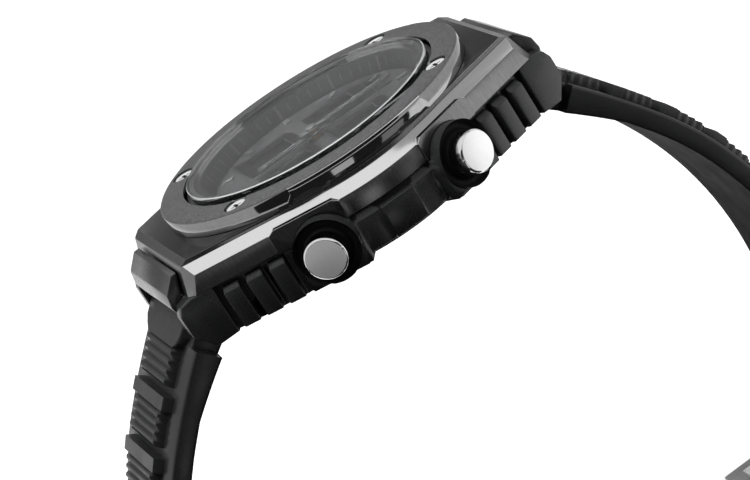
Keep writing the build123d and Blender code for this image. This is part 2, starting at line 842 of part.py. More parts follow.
with BuildPart() as motor_stator:
    with BuildSketch(Plane.XY.offset(stator_height)):
        with Locations(rotor):
            Rectangle(2 * stator_half_length, 2 * stator_half_width)
        for side in (-1, 1):
            leg_x = rotor_x + side * (stator_half_length - core_width / 2)
            with Locations((leg_x, rotor_y)):
                Rectangle(core_width, rotor_y - coil_y + core_width / 2, align=(Align.CENTER, Align.MAX))
        with Locations((rotor_x, coil_y)):
            Rectangle(2 * stator_half_length, core_width)
        with Locations(rotor):
            Circle(magnet_radius + stator_gap, mode=Mode.SUBTRACT)
        with Locations(centre):
            Circle(gear_module * cannon_teeth / 2 + gear_module + stator_gap, mode=Mode.SUBTRACT)
    extrude(amount=stator_thickness)

with BuildPart() as motor_coil:
    with BuildSketch(Plane.YZ.offset(rotor_x - coil_half_length)):
        with Locations((coil_y, stator_height + stator_thickness / 2)):
            Circle(coil_radius)
            Rectangle(
                core_width + 2 * seat_clearance, stator_thickness + 2 * seat_clearance, mode=Mode.SUBTRACT
            )
    extrude(amount=2 * coil_half_length)

zebra_inset = 5.7
zebra_half_length = 6.0
zebra_width = 1.0

zebra_y = module_radius - zebra_inset

with BuildPart() as module_frame:
    with BuildSketch(Plane.XY.offset(board_top_height)):
        Circle(module_radius)
        Circle(module_radius - module_wall, mode=Mode.SUBTRACT)
    extrude(amount=plate_height - board_top_height)
    with BuildSketch(Plane.XY.offset(plate_height)):
        Circle(module_radius)
        Circle(hour_tube_radius + open_clearance / 2, mode=Mode.SUBTRACT)
        with Locations((0, zebra_y)):
            Rectangle(
                2 * (zebra_half_length + seat_clearance),
                zebra_width + 2 * seat_clearance,
                mode=Mode.SUBTRACT,
            )
    extrude(amount=plate_thickness)

with BuildPart() as circuit_board:
    with BuildSketch(Plane.XY.offset(board_height)):
        Circle(module_radius)
    extrude(amount=board_thickness)

with BuildPart() as zebra_connector:
    with BuildSketch(Plane.XY.offset(board_top_height)):
        with Locations((0, zebra_y)):
            Rectangle(2 * zebra_half_length, zebra_width)
    extrude(amount=display_height - board_top_height)

chip_x = 7.0
chip_y = 2.5
chip_side = 4.2
chip_thickness = 0.9
can_radius = 0.7
can_length = 5.6
can_x = 4.6
can_y = -5.2
lamp_inset = 3.4
lamp_width = 1.6
lamp_length = 2.6
lamp_thickness = 0.9

lamp_x = module_radius - lamp_inset

with BuildPart() as driver_chip:
    with BuildSketch(Plane.XY.offset(board_top_height)):
        with Locations((chip_x, chip_y)):
            Rectangle(chip_side, chip_side)
    extrude(amount=chip_thickness)

with BuildPart() as quartz_resonator:
    with BuildSketch(Plane.YZ.offset(can_x)):
        with Locations((can_y, board_top_height + can_radius)):
            Circle(can_radius)
    extrude(amount=can_length)

with BuildPart() as dial_lamp:
    with BuildSketch(Plane.XY.offset(board_top_height)):
        with Locations((lamp_x, 0)):
            Rectangle(lamp_width, lamp_length)
    extrude(amount=lamp_thickness)

with BuildPart() as lcd_panel:
    with BuildSketch(Plane.XY.offset(display_height)):
        Rectangle(2 * display_half_width, 2 * display_half_width)
        chamfer(vertices(), length=display_corner)
        Circle(display_hole_radius, mode=Mode.SUBTRACT)
    extrude(amount=display_thickness)

with BuildPart() as dial_plate:
    with BuildSketch(Plane.XY.offset(dial_height)):
        Circle(dial_radius)
        Circle(dial_hole_radius, mode=Mode.SUBTRACT)
        with GridLocations(2 * window_x, 2 * window_y, 2, 2):
            Rectangle(window_width, window_length, mode=Mode.SUBTRACT)
        with Locations((-window_x, small_window_y)):
            Rectangle(small_window_width, small_window_length, mode=Mode.SUBTRACT)
    extrude(amount=dial_thickness)

with BuildPart() as hour_markers:
    with BuildSketch(Plane.XY.offset(dial_top_height)):
        with PolarLocations(marker_circle, marker_count):
            Rectangle(marker_length, marker_width)
    extrude(amount=marker_thickness)

with BuildPart() as chapter_ring:
    with BuildSketch(Plane.XZ):
        Polygon(
            (chapter_foot_radius, dial_top_height),
            (chapter_radius, dial_top_height),
            (chapter_radius, dial_top_height + chapter_height),
            (chapter_lip_radius, dial_top_height + chapter_height),
            align=None,
        )
    revolve(axis=Axis.Z)


def hand(height, length, width, hub_bore, direction):
    # a baton with a hub, a short tail and a slot for its luminous strip
    with BuildPart() as baton:
        with BuildSketch(Plane.XY.offset(height)):
            Circle(hand_hub_radius)
            with Locations((0, direction * (length - hand_tail) / 2)):
                Rectangle(width, length + hand_tail)
            with Locations((0, direction * (length + hand_hub_radius) / 2)):
                Rectangle(hand_slot_width, length - 3 * hand_hub_radius, mode=Mode.SUBTRACT)
            Circle(hub_bore, mode=Mode.SUBTRACT)
        extrude(amount=hand_thickness)
    return baton


hour_hand = hand(hour_hand_height, hour_hand_length, hour_hand_width, hour_tube_radius, -1)
minute_hand = hand(minute_hand_height, minute_hand_length, minute_hand_width, arbor_radius, 1)

# Power and sound under the board
battery_radius = 8.0
battery_thickness = 1.6
battery_inset = 1.0
clamp_thickness = 0.18
clamp_half_length = 9.0
clamp_width = 4.0
battery_gap = 0.07
buzzer_radius = 3.6
buzzer_x = -4.5
buzzer_inset = 5.4
buzzer_thickness = 0.3
contact_radius = 0.8

battery_y = battery_radius + battery_inset - module_radius
buzzer_y = module_radius - buzzer_inset
battery_height = board_height - battery_gap - battery_thickness
clamp_height = battery_height - seat_clearance - clamp_thickness

with BuildPart() as battery:
    with BuildSketch(Plane.XY.offset(battery_height)):
        with Locations((0, battery_y)):
            Circle(battery_radius)
    extrude(amount=battery_thickness)

with BuildPart() as battery_clamp:
    with BuildSketch(Plane.XZ.offset(-battery_y)):
        with Locations((0, clamp_height)):
            Rectangle(2 * clamp_half_length, clamp_thickness, align=(Align.CENTER, Align.MIN))
        for side in (-1, 1):
            with Locations((side * (clamp_half_length - clamp_thickness / 2), clamp_height)):
                Rectangle(
                    clamp_thickness, board_height - clamp_height, align=(Align.CENTER, Align.MIN)
                )
    extrude(amount=clamp_width / 2, both=True)

with BuildPart() as buzzer:
    with BuildSketch(Plane.XY.offset(case_back_thickness)):
        with Locations((buzzer_x, buzzer_y)):
            Circle(buzzer_radius)
    extrude(amount=buzzer_thickness)

with BuildPart() as buzzer_contact:
    with BuildSketch(Plane.XY.offset(case_back_thickness + buzzer_thickness)):
        with Locations((buzzer_x, buzzer_y)):
            Circle(contact_radius)
            Circle(contact_radius / 2, mode=Mode.SUBTRACT)
    extrude(amount=board_height - case_back_thickness - buzzer_thickness)

# Pushers with their springs and seals
collar_gap = 0.25
spring_gap = 0.6
seal_gap = 0.3
seal_thickness = 0.3

spring_radius = pusher_stem_radius + spring_gap
seal_radius = pusher_radius - seal_gap
pusher_head_foot = pusher_reach - pusher_head_length
collar_foot = case_bore_radius - flank_distance - collar_gap - pusher_collar_length
spring_foot = seal_thickness + spring_wire_radius - spring_seat_depth
spring_length = pusher_head_foot - spring_wire_radius - spring_foot

with BuildPart() as pusher:
    with BuildSketch(pusher_axis.offset(pusher_head_foot)):
        Circle(pusher_radius)
    extrude(amount=pusher_head_length)
    chamfer(pusher.faces().sort_by(Axis(flank.origin, flank.z_dir))[-1].edges(), length=pusher_rim)
    with BuildSketch(pusher_axis.offset(collar_foot)):
        Circle(pusher_stem_radius)
    extrude(amount=pusher_head_foot - collar_foot)
    with BuildSketch(pusher_axis.offset(collar_foot)):
        Circle(pusher_collar_radius)
    extrude(amount=pusher_collar_length)

with BuildPart() as pusher_spring:
    with BuildLine() as coil:
        Helix(
            pitch=spring_length / spring_turns,
            height=spring_length,
            radius=spring_radius,
            center=pusher_axis.from_local_coords((0, 0, spring_foot)),
            direction=flank.z_dir,
        )
    with BuildSketch(Plane(origin=coil.line @ 0, z_dir=coil.line % 0)):
        Circle(spring_wire_radius)
    sweep(is_frenet=True)

with BuildPart() as pusher_seal:
    with BuildSketch(pusher_axis.offset(-spring_seat_depth)):
        Circle(seal_radius)
        Circle(pusher_stem_radius + running_clearance, mode=Mode.SUBTRACT)
    extrude(amount=seal_thickness)

pushers = dict(zip(("2", "10", "4", "8"), four_ways(pusher.part)))
pusher_springs = dict(zip(("2", "10", "4", "8"), four_ways(pusher_spring.part)))

with BuildPart() as pusher_seals:
    add(four_ways(pusher_seal.part))

# Strap: two halves of resin that fall from the spring bars in tangent arcs
strap_thickness = 3.1
strap_half_width = 11.0
strap_taper = 1.3
strap_taper_start = 10.0
strap_12_angle = 46
strap_6_angle = 40
upper_bend_radius = 110.0
upper_bend_angle = 8.3
lower_bend_radius = 45.0
strap_12_length = 74.0
strap_tail_length = 20.0
tongue_side_gap = 0.25
strap_hub_wall = 1.45
shoulder_gap = 1.55
root_length = 3.6
heel_start = 2.0
heel_length = 10.0
heel_depth = 1.2
rib_rise = 0.8
rib_half_width = 6.0
terrace_drop = 0.6
groove_first = 9.8
groove_pitch = 7.3
groove_width = 1.1
strap_12_groove_count = 7
strap_6_groove_count = 5
strap_hole_radius = 1.1
strap_hole_first = 50.0
strap_hole_pitch = 6.5
strap_hole_count = 8
tail_corner = 5.0

strap_end_half_width = strap_half_width - strap_taper
tongue_half_width = strap_gap_half_width - tongue_side_gap
strap_hub_radius = bar_radius + strap_hub_wall
shoulder_radius = strap_hub_radius + shoulder_gap

# Buckle at the end of the short half
buckle_pin_radius = 0.7
buckle_hub_wall = 1.2
buckle_arm_gap = 0.2
buckle_arm_width = 1.8
buckle_length = 10.4
buckle_bar_width = 2.0
buckle_thickness = 1.6
buckle_eye_wall = 0.9
prong_half_width = 1.1
prong_side_gap = 0.3
prong_thickness = 0.85
prong_eye_wall = 0.8
prong_overhang = 0.9

buckle_hub_radius = buckle_pin_radius + buckle_hub_wall
buckle_eye_radius = buckle_pin_radius + buckle_eye_wall
prong_eye_radius = buckle_pin_radius + prong_eye_wall
prong_slot_half_width = prong_half_width + prong_side_gap

# Loop that keeps the tail down
keeper_setback = 16.0
keeper_width = 6.0
keeper_wall = 1.2
keeper_clearance = 0.5

keeper_station = strap_12_length - keeper_setback

upper_bend_length = upper_bend_radius * radians(upper_bend_angle)
short_bend_angle = (strap_12_length - upper_bend_length) / lower_bend_radius * 180 / pi
upper_turn = (upper_bend_radius, upper_bend_angle)
strap_12_path = (strap_12_angle, [upper_turn, (lower_bend_radius, short_bend_angle)])


def strap_place(path, length):
    # the point and the heading, in degrees below level, after a length of the strap
    y, z = bar_reach, bar_height
    heading, turns = path
    for radius, turn in turns:
        step = min(turn, length / radius * 180 / pi)
        y += radius * (sin(radians(heading + step)) - sin(radians(heading)))
        z += radius * (cos(radians(heading + step)) - cos(radians(heading)))
        heading += step
        length -= radius * radians(step)
    return y + length * cos(radians(heading)), z - length * sin(radians(heading)), heading


def outward(heading):
    return sin(radians(heading)), cos(radians(heading))


def strap_point(path, length, rise):
    # a point of the side view, at a height over the strap's middle
    y, z, heading = strap_place(path, length)
    out_y, out_z = outward(heading)
    return y + rise * out_y, z + rise * out_z


def strap_plane(path, length, rise):
    # a plane on the strap's outer side: X across it and Y along it
    heading = strap_place(path, length)[2]
    return Plane(
        origin=(0, *strap_point(path, length, rise)), x_dir=(1, 0, 0), z_dir=(0, *outward(heading))
    )


def strap_profile(path, tail_length, rise):
    # the side view of a strap whose outer side stands proud by the rise
    heading, turns = path
    middle = rise / 2
    with BuildSketch(Plane.YZ) as profile:
        with BuildLine():
            start = strap_point(path, 0, middle)
            for radius, turn in turns:
                way = (cos(radians(heading)), -sin(radians(heading)))
                bend = JernArc(start, way, radius + middle, -turn)
                start = bend @ 1
                heading += turn
            if tail_length > 0:
                way = (cos(radians(heading)), -sin(radians(heading)))
                Line(start, (start.X + tail_length * way[0], start.Y + tail_length * way[1]))
        trace(line_width=strap_thickness + rise)
    return profile.sketch


buckle_y, buckle_z = strap_place(strap_12_path, strap_12_length)[:2]
floor_height = buckle_z - buckle_hub_radius
side_turn = (lower_bend_radius, 90 - strap_6_angle - upper_bend_angle)
side_length = upper_bend_length + lower_bend_radius * radians(side_turn[1])
side_z = strap_place((strap_6_angle, [upper_turn, side_turn]), side_length)[1]
tail_bend_radius = side_z - floor_height - strap_thickness / 2 - rib_rise
strap_6_path = (strap_6_angle, [upper_turn, side_turn, (tail_bend_radius, 90)])
strap_6_length = side_length + tail_bend_radius * pi / 2 + strap_tail_length
tail_y = strap_place(strap_6_path, strap_6_length)[0]
root_turn = (upper_bend_radius, root_length / upper_bend_length * upper_bend_angle)


def strap_blank(path, tail_length, groove_count):
    # one strap half on the 12 o'clock side, tapered, with its tongue between the horns
    with BuildPart() as blank:
        extrude(strap_profile(path, tail_length, -terrace_drop), amount=strap_half_width, both=True)
        extrude(strap_profile(path, tail_length, rib_rise), amount=rib_half_width, both=True)
        with BuildSketch(Plane.YZ):
            Polygon(
                strap_point(path, heel_start, 0),
                strap_point(path, heel_start, -strap_thickness / 2 - heel_depth),
                strap_point(path, heel_start + heel_length, -strap_thickness / 2),
                align=None,
            )
        extrude(amount=strap_half_width, both=True)
        with BuildSketch(Plane.XZ):
            Polygon(
                (-strap_half_width, block_top_height),
                (-strap_half_width, -strap_taper_start),
                (-strap_end_half_width, floor_height + strap_taper_start),
                (-strap_end_half_width, floor_height - overrun),
                (strap_end_half_width, floor_height - overrun),
                (strap_end_half_width, floor_height + strap_taper_start),
                (strap_half_width, -strap_taper_start),
                (strap_half_width, block_top_height),
                align=None,
            )
        extrude(amount=bar_reach + strap_12_length, mode=Mode.INTERSECT, both=True)
        for groove in range(groove_count):
            station = groove_first + groove * groove_pitch
            with BuildSketch(strap_plane(path, station, strap_thickness / 2 - terrace_drop)):
                Rectangle(2 * (rib_half_width + overrun), groove_width)
            extrude(amount=terrace_drop + rib_rise + overrun, mode=Mode.SUBTRACT)
        extrude(strap_profile((path[0], [root_turn]), 0, rib_rise), amount=tongue_half_width, both=True)
        with BuildSketch(Plane.YZ):
            with Locations((bar_reach, bar_height)):
                Circle(strap_hub_radius)
        extrude(amount=tongue_half_width, both=True)
        for side in (-1, 1):
            with BuildSketch(Plane.YZ.offset(side * tongue_half_width)):
                with Locations((bar_reach, bar_height)):
                    Circle(shoulder_radius)
            extrude(amount=side * (strap_half_width - tongue_half_width + overrun), mode=Mode.SUBTRACT)
        with BuildSketch(Plane.YZ):
            with Locations((bar_reach, bar_height)):
                Circle(bar_radius + running_clearance)
        extrude(amount=strap_half_width, both=True, mode=Mode.SUBTRACT)
    return blank.part


short_blank = strap_blank(strap_12_path, 0, strap_12_groove_count)
long_blank = strap_blank(strap_6_path, strap_tail_length, strap_6_groove_count)

with BuildPart() as strap_12:
    add(short_blank)
    with BuildSketch(Plane.YZ):
        with Locations((buckle_y, buckle_z)):
            Circle(buckle_hub_radius)
    extrude(amount=strap_end_half_width, both=True)
    with BuildSketch(Plane.YZ):
        with Locations((buckle_y, buckle_z)):
            Circle(buckle_hub_radius + rib_rise + open_clearance)
    extrude(amount=prong_slot_half_width, both=True, mode=Mode.SUBTRACT)
    with BuildSketch(Plane.YZ):
        with Locations((buckle_y, buckle_z)):
            Circle(buckle_pin_radius + running_clearance / 2)
    extrude(amount=strap_half_width, both=True, mode=Mode.SUBTRACT)

with BuildPart() as strap_6:
    add(long_blank)
    with BuildSketch(Plane.XY.offset(floor_height - overrun)):
        for side in (-1, 1):
            Polygon(
                (side * (strap_end_half_width - tail_corner - overrun), tail_y - overrun),
                (side * (strap_end_half_width + overrun), tail_y - overrun),
                (side * (strap_end_half_width + overrun), tail_y + tail_corner + overrun),
                align=None,
            )
    extrude(amount=2 * strap_thickness + rib_rise + overrun, mode=Mode.SUBTRACT)
    for hole in range(strap_hole_count):
        with BuildSketch(strap_plane(strap_6_path, strap_hole_first + hole * strap_hole_pitch, 0)):
            Circle(strap_hole_radius)
        extrude(amount=strap_thickness, both=True, mode=Mode.SUBTRACT)
    mirror(about=Plane.XZ, mode=Mode.REPLACE)

with BuildPart() as spring_bar_12:
    with BuildSketch(Plane.YZ):
        with Locations((bar_reach, bar_height)):
            Circle(bar_radius)
    extrude(amount=strap_gap_half_width - seat_clearance, both=True)
    with BuildSketch(Plane.YZ):
        with Locations((bar_reach, bar_height)):
            Circle(bar_tip_radius)
    extrude(amount=strap_gap_half_width + bar_tip_length, both=True)
spring_bar_6 = mirror(spring_bar_12.part, about=Plane.XZ)

with BuildPart() as keeper_loop:
    keeper_y, keeper_z, keeper_heading = strap_place(strap_12_path, keeper_station)
    keeper_out_y, keeper_out_z = outward(keeper_heading)
    keeper_plane = Plane(
        origin=(0, keeper_y, keeper_z), x_dir=(-1, 0, 0), z_dir=(0, keeper_out_z, -keeper_out_y)
    )
    keeper_low = -strap_thickness / 2 - keeper_clearance
    keeper_high = 3 * strap_thickness / 2 + rib_rise + keeper_clearance
    with BuildSketch(keeper_plane):
        with Locations((0, keeper_low - keeper_wall)):
            Rectangle(
                2 * (strap_half_width + keeper_wall),
                keeper_high - keeper_low + 2 * keeper_wall,
                align=(Align.CENTER, Align.MIN),
            )
        with Locations((0, keeper_low)):
            Rectangle(
                2 * strap_half_width,
                keeper_high - keeper_low,
                align=(Align.CENTER, Align.MIN),
                mode=Mode.SUBTRACT,
            )
    extrude(amount=keeper_width / 2, both=True)

buckle_inner = strap_end_half_width + buckle_arm_gap
buckle_outer = buckle_inner + buckle_arm_width

with BuildPart() as buckle_frame:
    with BuildSketch(Plane.XY.offset(buckle_z - buckle_thickness / 2)):
        with Locations((0, buckle_y)):
            Rectangle(2 * buckle_outer, buckle_length, align=(Align.CENTER, Align.MAX))
            Rectangle(
                2 * buckle_inner,
                buckle_length - buckle_bar_width,
                align=(Align.CENTER, Align.MAX),
                mode=Mode.SUBTRACT,
            )
    extrude(amount=buckle_thickness)
    for side in (-1, 1):
        with BuildSketch(Plane.YZ.offset(side * buckle_inner)):
            with Locations((buckle_y, buckle_z)):
                Circle(buckle_eye_radius)
        extrude(amount=side * buckle_arm_width)
    with BuildSketch(Plane.YZ):
        with Locations((buckle_y, buckle_z)):
            Circle(buckle_pin_radius + running_clearance)
    extrude(amount=buckle_outer, both=True, mode=Mode.SUBTRACT)

with BuildPart() as buckle_tongue:
    with BuildSketch(Plane.YZ):
        with Locations((buckle_y, buckle_z)):
            Circle(prong_eye_radius)
        with Locations((buckle_y, buckle_z - buckle_thickness / 2 - seat_clearance)):
            Rectangle(buckle_length + prong_overhang, prong_thickness, align=(Align.MAX, Align.MAX))
        with Locations((buckle_y, buckle_z)):
            Circle(buckle_pin_radius + running_clearance, mode=Mode.SUBTRACT)
    extrude(amount=prong_half_width, both=True)

with BuildPart() as buckle_pin:
    with BuildSketch(Plane.YZ):
        with Locations((buckle_y, buckle_z)):
            Circle(buckle_pin_radius)
    extrude(amount=buckle_outer, both=True)

pieces = {
    "resin_body": resin_body.part,
    "frame_screws": frame_screws.part,
    "case_frame": case_frame.part,
    "bezel_ring": bezel_ring.part,
    "bezel_screws": bezel_screws.part,
    "end_block_12": end_block_12.part,
    "end_block_6": end_block_6,
    "mid_case": mid_case.part,
    "case_back": case_back.part,
    "case_back_screws": case_back_screws.part,
    "case_back_gasket": case_back_gasket.part,
    "crystal": crystal.part,
    "crystal_gasket": crystal_gasket.part,
    "centre_wheel": centre_wheel.part,
    "hour_wheel": hour_wheel.part,
    "minute_wheel": minute_wheel.part,
    "intermediate_wheel": intermediate_wheel.part,
    "motor_rotor": motor_rotor.part,
    "motor_stator": motor_stator.part,
    "motor_coil": motor_coil.part,
    "module_frame": module_frame.part,
    "circuit_board": circuit_board.part,
    "zebra_connector": zebra_connector.part,
    "driver_chip": driver_chip.part,
    "quartz_resonator": quartz_resonator.part,
    "dial_lamp": dial_lamp.part,
    "lcd_panel": lcd_panel.part,
    "dial_plate": dial_plate.part,
    "hour_markers": hour_markers.part,
    "chapter_ring": chapter_ring.part,
    "hour_hand": hour_hand.part,
    "minute_hand": minute_hand.part,
    "battery": battery.part,
    "battery_clamp": battery_clamp.part,
    "buzzer": buzzer.part,
    "buzzer_contact": buzzer_contact.part,
    "pusher_seals": pusher_seals.part,
    "strap_12": strap_12.part,
    "strap_6": strap_6.part,
    "spring_bar_12": spring_bar_12.part,
    "spring_bar_6": spring_bar_6,
    "keeper_loop": keeper_loop.part,
    "buckle_frame": buckle_frame.part,
    "buckle_tongue": buckle_tongue.part,
    "buckle_pin": buckle_pin.part,
}
for hour in pushers:
    pieces[f"pusher_{hour}"] = pushers[hour]
    pieces[f"pusher_spring_{hour}"] = pusher_springs[hour]

for name, piece in pieces.items():
    piece.label = name
    export_step(piece, f"parts/{name}.step")
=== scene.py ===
import json
import math

import bmesh
import bpy
from mathutils import Matrix, Vector

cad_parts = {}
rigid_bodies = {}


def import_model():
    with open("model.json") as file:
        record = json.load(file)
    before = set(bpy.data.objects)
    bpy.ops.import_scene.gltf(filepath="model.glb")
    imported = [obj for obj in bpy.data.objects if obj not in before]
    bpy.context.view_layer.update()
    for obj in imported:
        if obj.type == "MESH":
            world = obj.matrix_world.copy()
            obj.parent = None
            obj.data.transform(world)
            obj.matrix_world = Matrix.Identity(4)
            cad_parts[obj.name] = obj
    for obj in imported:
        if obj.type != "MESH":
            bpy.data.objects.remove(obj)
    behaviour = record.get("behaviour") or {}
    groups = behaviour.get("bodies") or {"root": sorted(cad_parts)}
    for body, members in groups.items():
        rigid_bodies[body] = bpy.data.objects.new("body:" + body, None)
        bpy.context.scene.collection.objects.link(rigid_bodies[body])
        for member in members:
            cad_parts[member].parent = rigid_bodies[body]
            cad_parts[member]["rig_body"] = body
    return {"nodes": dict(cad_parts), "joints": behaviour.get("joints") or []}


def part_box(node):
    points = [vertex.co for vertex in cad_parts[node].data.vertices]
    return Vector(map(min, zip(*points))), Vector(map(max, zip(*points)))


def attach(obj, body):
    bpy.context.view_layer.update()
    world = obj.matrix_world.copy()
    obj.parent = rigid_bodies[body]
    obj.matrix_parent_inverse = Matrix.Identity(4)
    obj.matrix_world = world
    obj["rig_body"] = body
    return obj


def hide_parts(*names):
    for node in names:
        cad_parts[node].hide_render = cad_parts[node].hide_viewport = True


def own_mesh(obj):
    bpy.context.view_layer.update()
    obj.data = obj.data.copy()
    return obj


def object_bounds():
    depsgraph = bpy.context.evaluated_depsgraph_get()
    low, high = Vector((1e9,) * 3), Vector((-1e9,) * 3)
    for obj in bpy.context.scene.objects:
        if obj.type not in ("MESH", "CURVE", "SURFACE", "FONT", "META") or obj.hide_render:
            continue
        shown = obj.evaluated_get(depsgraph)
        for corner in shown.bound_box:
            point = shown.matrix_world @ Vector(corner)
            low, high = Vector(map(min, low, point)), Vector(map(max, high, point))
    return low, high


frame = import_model()
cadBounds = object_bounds()
nodes = frame["nodes"]
joints = {joint["name"]: joint for joint in frame["joints"]}
mm = 0.001
print("frame loaded:", len(nodes), "nodes")


# Camera, at the height and roll of the photograph
view = {
    "azimuth": 80.295,
    "elevation": 17.602,
    "roll": 32.636,
    "distance": 0.45,
    "aimRight": 0.008328,
    "aimDown": 0.014558,
    "lens": 178.1,
    "sensor": 36.0,
    "nearest": 0.01,
}


def makeCamera():
    azimuth, elevation, roll = (math.radians(view[key]) for key in ("azimuth", "elevation", "roll"))
    back = Vector((
        math.sin(azimuth) * math.cos(elevation),
        -math.cos(azimuth) * math.cos(elevation),
        math.sin(elevation),
    ))
    right = Vector((math.cos(azimuth), math.sin(azimuth), 0))
    up = back.cross(right)
    cameraRight = right * math.cos(roll) - up * math.sin(roll)
    cameraUp = right * math.sin(roll) + up * math.cos(roll)
    centre = Vector((0, 0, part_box("bezel_ring")[1].z))
    aim = centre + cameraRight * view["aimRight"] - cameraUp * view["aimDown"]
    data = bpy.data.cameras.new("camera")
    data.lens = view["lens"]
    data.sensor_width = view["sensor"]
    data.clip_start = view["nearest"]
    camera = bpy.data.objects.new("camera", data)
    bpy.context.scene.collection.objects.link(camera)
    turn = Matrix((cameraRight, cameraUp, back)).transposed().to_4x4()
    camera.matrix_world = Matrix.Translation(aim + back * view["distance"]) @ turn
    bpy.context.scene.camera = camera


# Studio: pale floor, white backdrop, two soft boxes and the dark cards that polished metal sees
studio = {
    "floorSize": 12.0,
    "floorColour": 0.86,
    "floorGlow": 0.6,
    "fill": 0.5,
    "cardSteps": 24,
    "topPower": 11.0,
    "topSize": 0.5,
    "topPlace": (0.05, -0.12, 0.55),
    "sidePower": 2.2,
    "sideSize": 0.25,
    "sidePlace": (0.22, 0.5, 0.1),
}
cards = [
    # name, strength, from and to azimuth from +X, from and to distance, height above the floor
    ("card_front", 0.03, -102, 50, 0.01, 0.55, 0.001),
    ("card_edge", 0.12, -102, -56, 0.08, 0.50, 0.002),
    ("card_wedge", 1.0, -14, 2, 0.10, 0.30, 0.002),
    ("card_grey", 0.40, 25, 44, 0.10, 0.30, 0.002),
    ("card_bright", 1.6, 52, 108, 0.10, 0.50, 0.001),
    ("card_gap", 0.03, 109, 146, 0.05, 0.50, 0.001),
]
hangingCards = [
    # name, strength, azimuth from +X, elevation, distance, width, height
    ("card_back", 0.22, 170, 18, 0.9, 1.6, 0.5),
    ("card_camera", 0.03, -14, 8, 0.8, 2.4, 0.70),
    ("card_high", 0.30, 112, 52, 0.7, 0.45, 0.42),
]


def lightMaterial(name, strength):
    material = bpy.data.materials.new(name)
    material.use_nodes = True
    tree = material.node_tree
    tree.nodes.clear()
    glow = tree.nodes.new("ShaderNodeEmission")
    glow.inputs["Strength"].default_value = strength
    out = tree.nodes.new("ShaderNodeOutputMaterial")
    tree.links.new(glow.outputs["Emission"], out.inputs["Surface"])
    return material


def reflectedOnly(card):
    # the dark front card also keeps the floor's light off the sides
    card.visible_camera = False
    card.visible_diffuse = card.name == "card_front"
    card.visible_shadow = False
    card.visible_volume_scatter = False


def makeWorld():
    # white to the camera, in reflections and through the glass, dimmer as light on the object
    world = bpy.data.worlds.new("studio")
    bpy.context.scene.world = world
    world.use_nodes = True
    tree = world.node_tree
    tree.nodes.clear()
    path = tree.nodes.new("ShaderNodeLightPath")
    first = tree.nodes.new("ShaderNodeMath")
    first.operation = "MAXIMUM"
    second = tree.nodes.new("ShaderNodeMath")
    second.operation = "MAXIMUM"
    strength = tree.nodes.new("ShaderNodeMapRange")
    strength.inputs["To Min"].default_value = studio["fill"]
    strength.inputs["To Max"].default_value = 1.0
    back = tree.nodes.new("ShaderNodeBackground")
    out = tree.nodes.new("ShaderNodeOutputWorld")
    tree.links.new(path.outputs["Is Camera Ray"], first.inputs[0])
    tree.links.new(path.outputs["Is Glossy Ray"], first.inputs[1])
    tree.links.new(first.outputs["Value"], second.inputs[0])
    tree.links.new(path.outputs["Is Transmission Ray"], second.inputs[1])
    tree.links.new(second.outputs["Value"], strength.inputs["Value"])
    tree.links.new(strength.outputs["Result"], back.inputs["Strength"])
    tree.links.new(back.outputs["Background"], out.inputs["Surface"])


def floorMaterial():
    # part a plain white glow for the camera and for reflections, part a paper that takes the shadow
    material = bpy.data.materials.new("paper_floor")
    material.use_nodes = True
    tree = material.node_tree
    tree.nodes.clear()
    path = tree.nodes.new("ShaderNodeLightPath")
    seen = tree.nodes.new("ShaderNodeMath")
    seen.operation = "MAXIMUM"
    share = tree.nodes.new("ShaderNodeMath")
    share.operation = "MULTIPLY"
    share.inputs[1].default_value = studio["floorGlow"]
    paper = tree.nodes.new("ShaderNodeBsdfDiffuse")
    paper.inputs["Color"].default_value = (studio["floorColour"],) * 3 + (1,)
    glow = tree.nodes.new("ShaderNodeEmission")
    mix = tree.nodes.new("ShaderNodeMixShader")
    out = tree.nodes.new("ShaderNodeOutputMaterial")
    tree.links.new(path.outputs["Is Camera Ray"], seen.inputs[0])
    tree.links.new(path.outputs["Is Glossy Ray"], seen.inputs[1])
    tree.links.new(seen.outputs["Value"], share.inputs[0])
    tree.links.new(share.outputs["Value"], mix.inputs["Fac"])
    tree.links.new(paper.outputs["BSDF"], mix.inputs[1])
    tree.links.new(glow.outputs["Emission"], mix.inputs[2])
    tree.links.new(mix.outputs["Shader"], out.inputs["Surface"])
    return material


def addStage(name, bm, material):
    data = bpy.data.meshes.new(name)
    bm.to_mesh(data)
    bm.free()
    data.materials.append(material)
    thing = bpy.data.objects.new(name, data)
    bpy.context.scene.collection.objects.link(thing)
    return thing


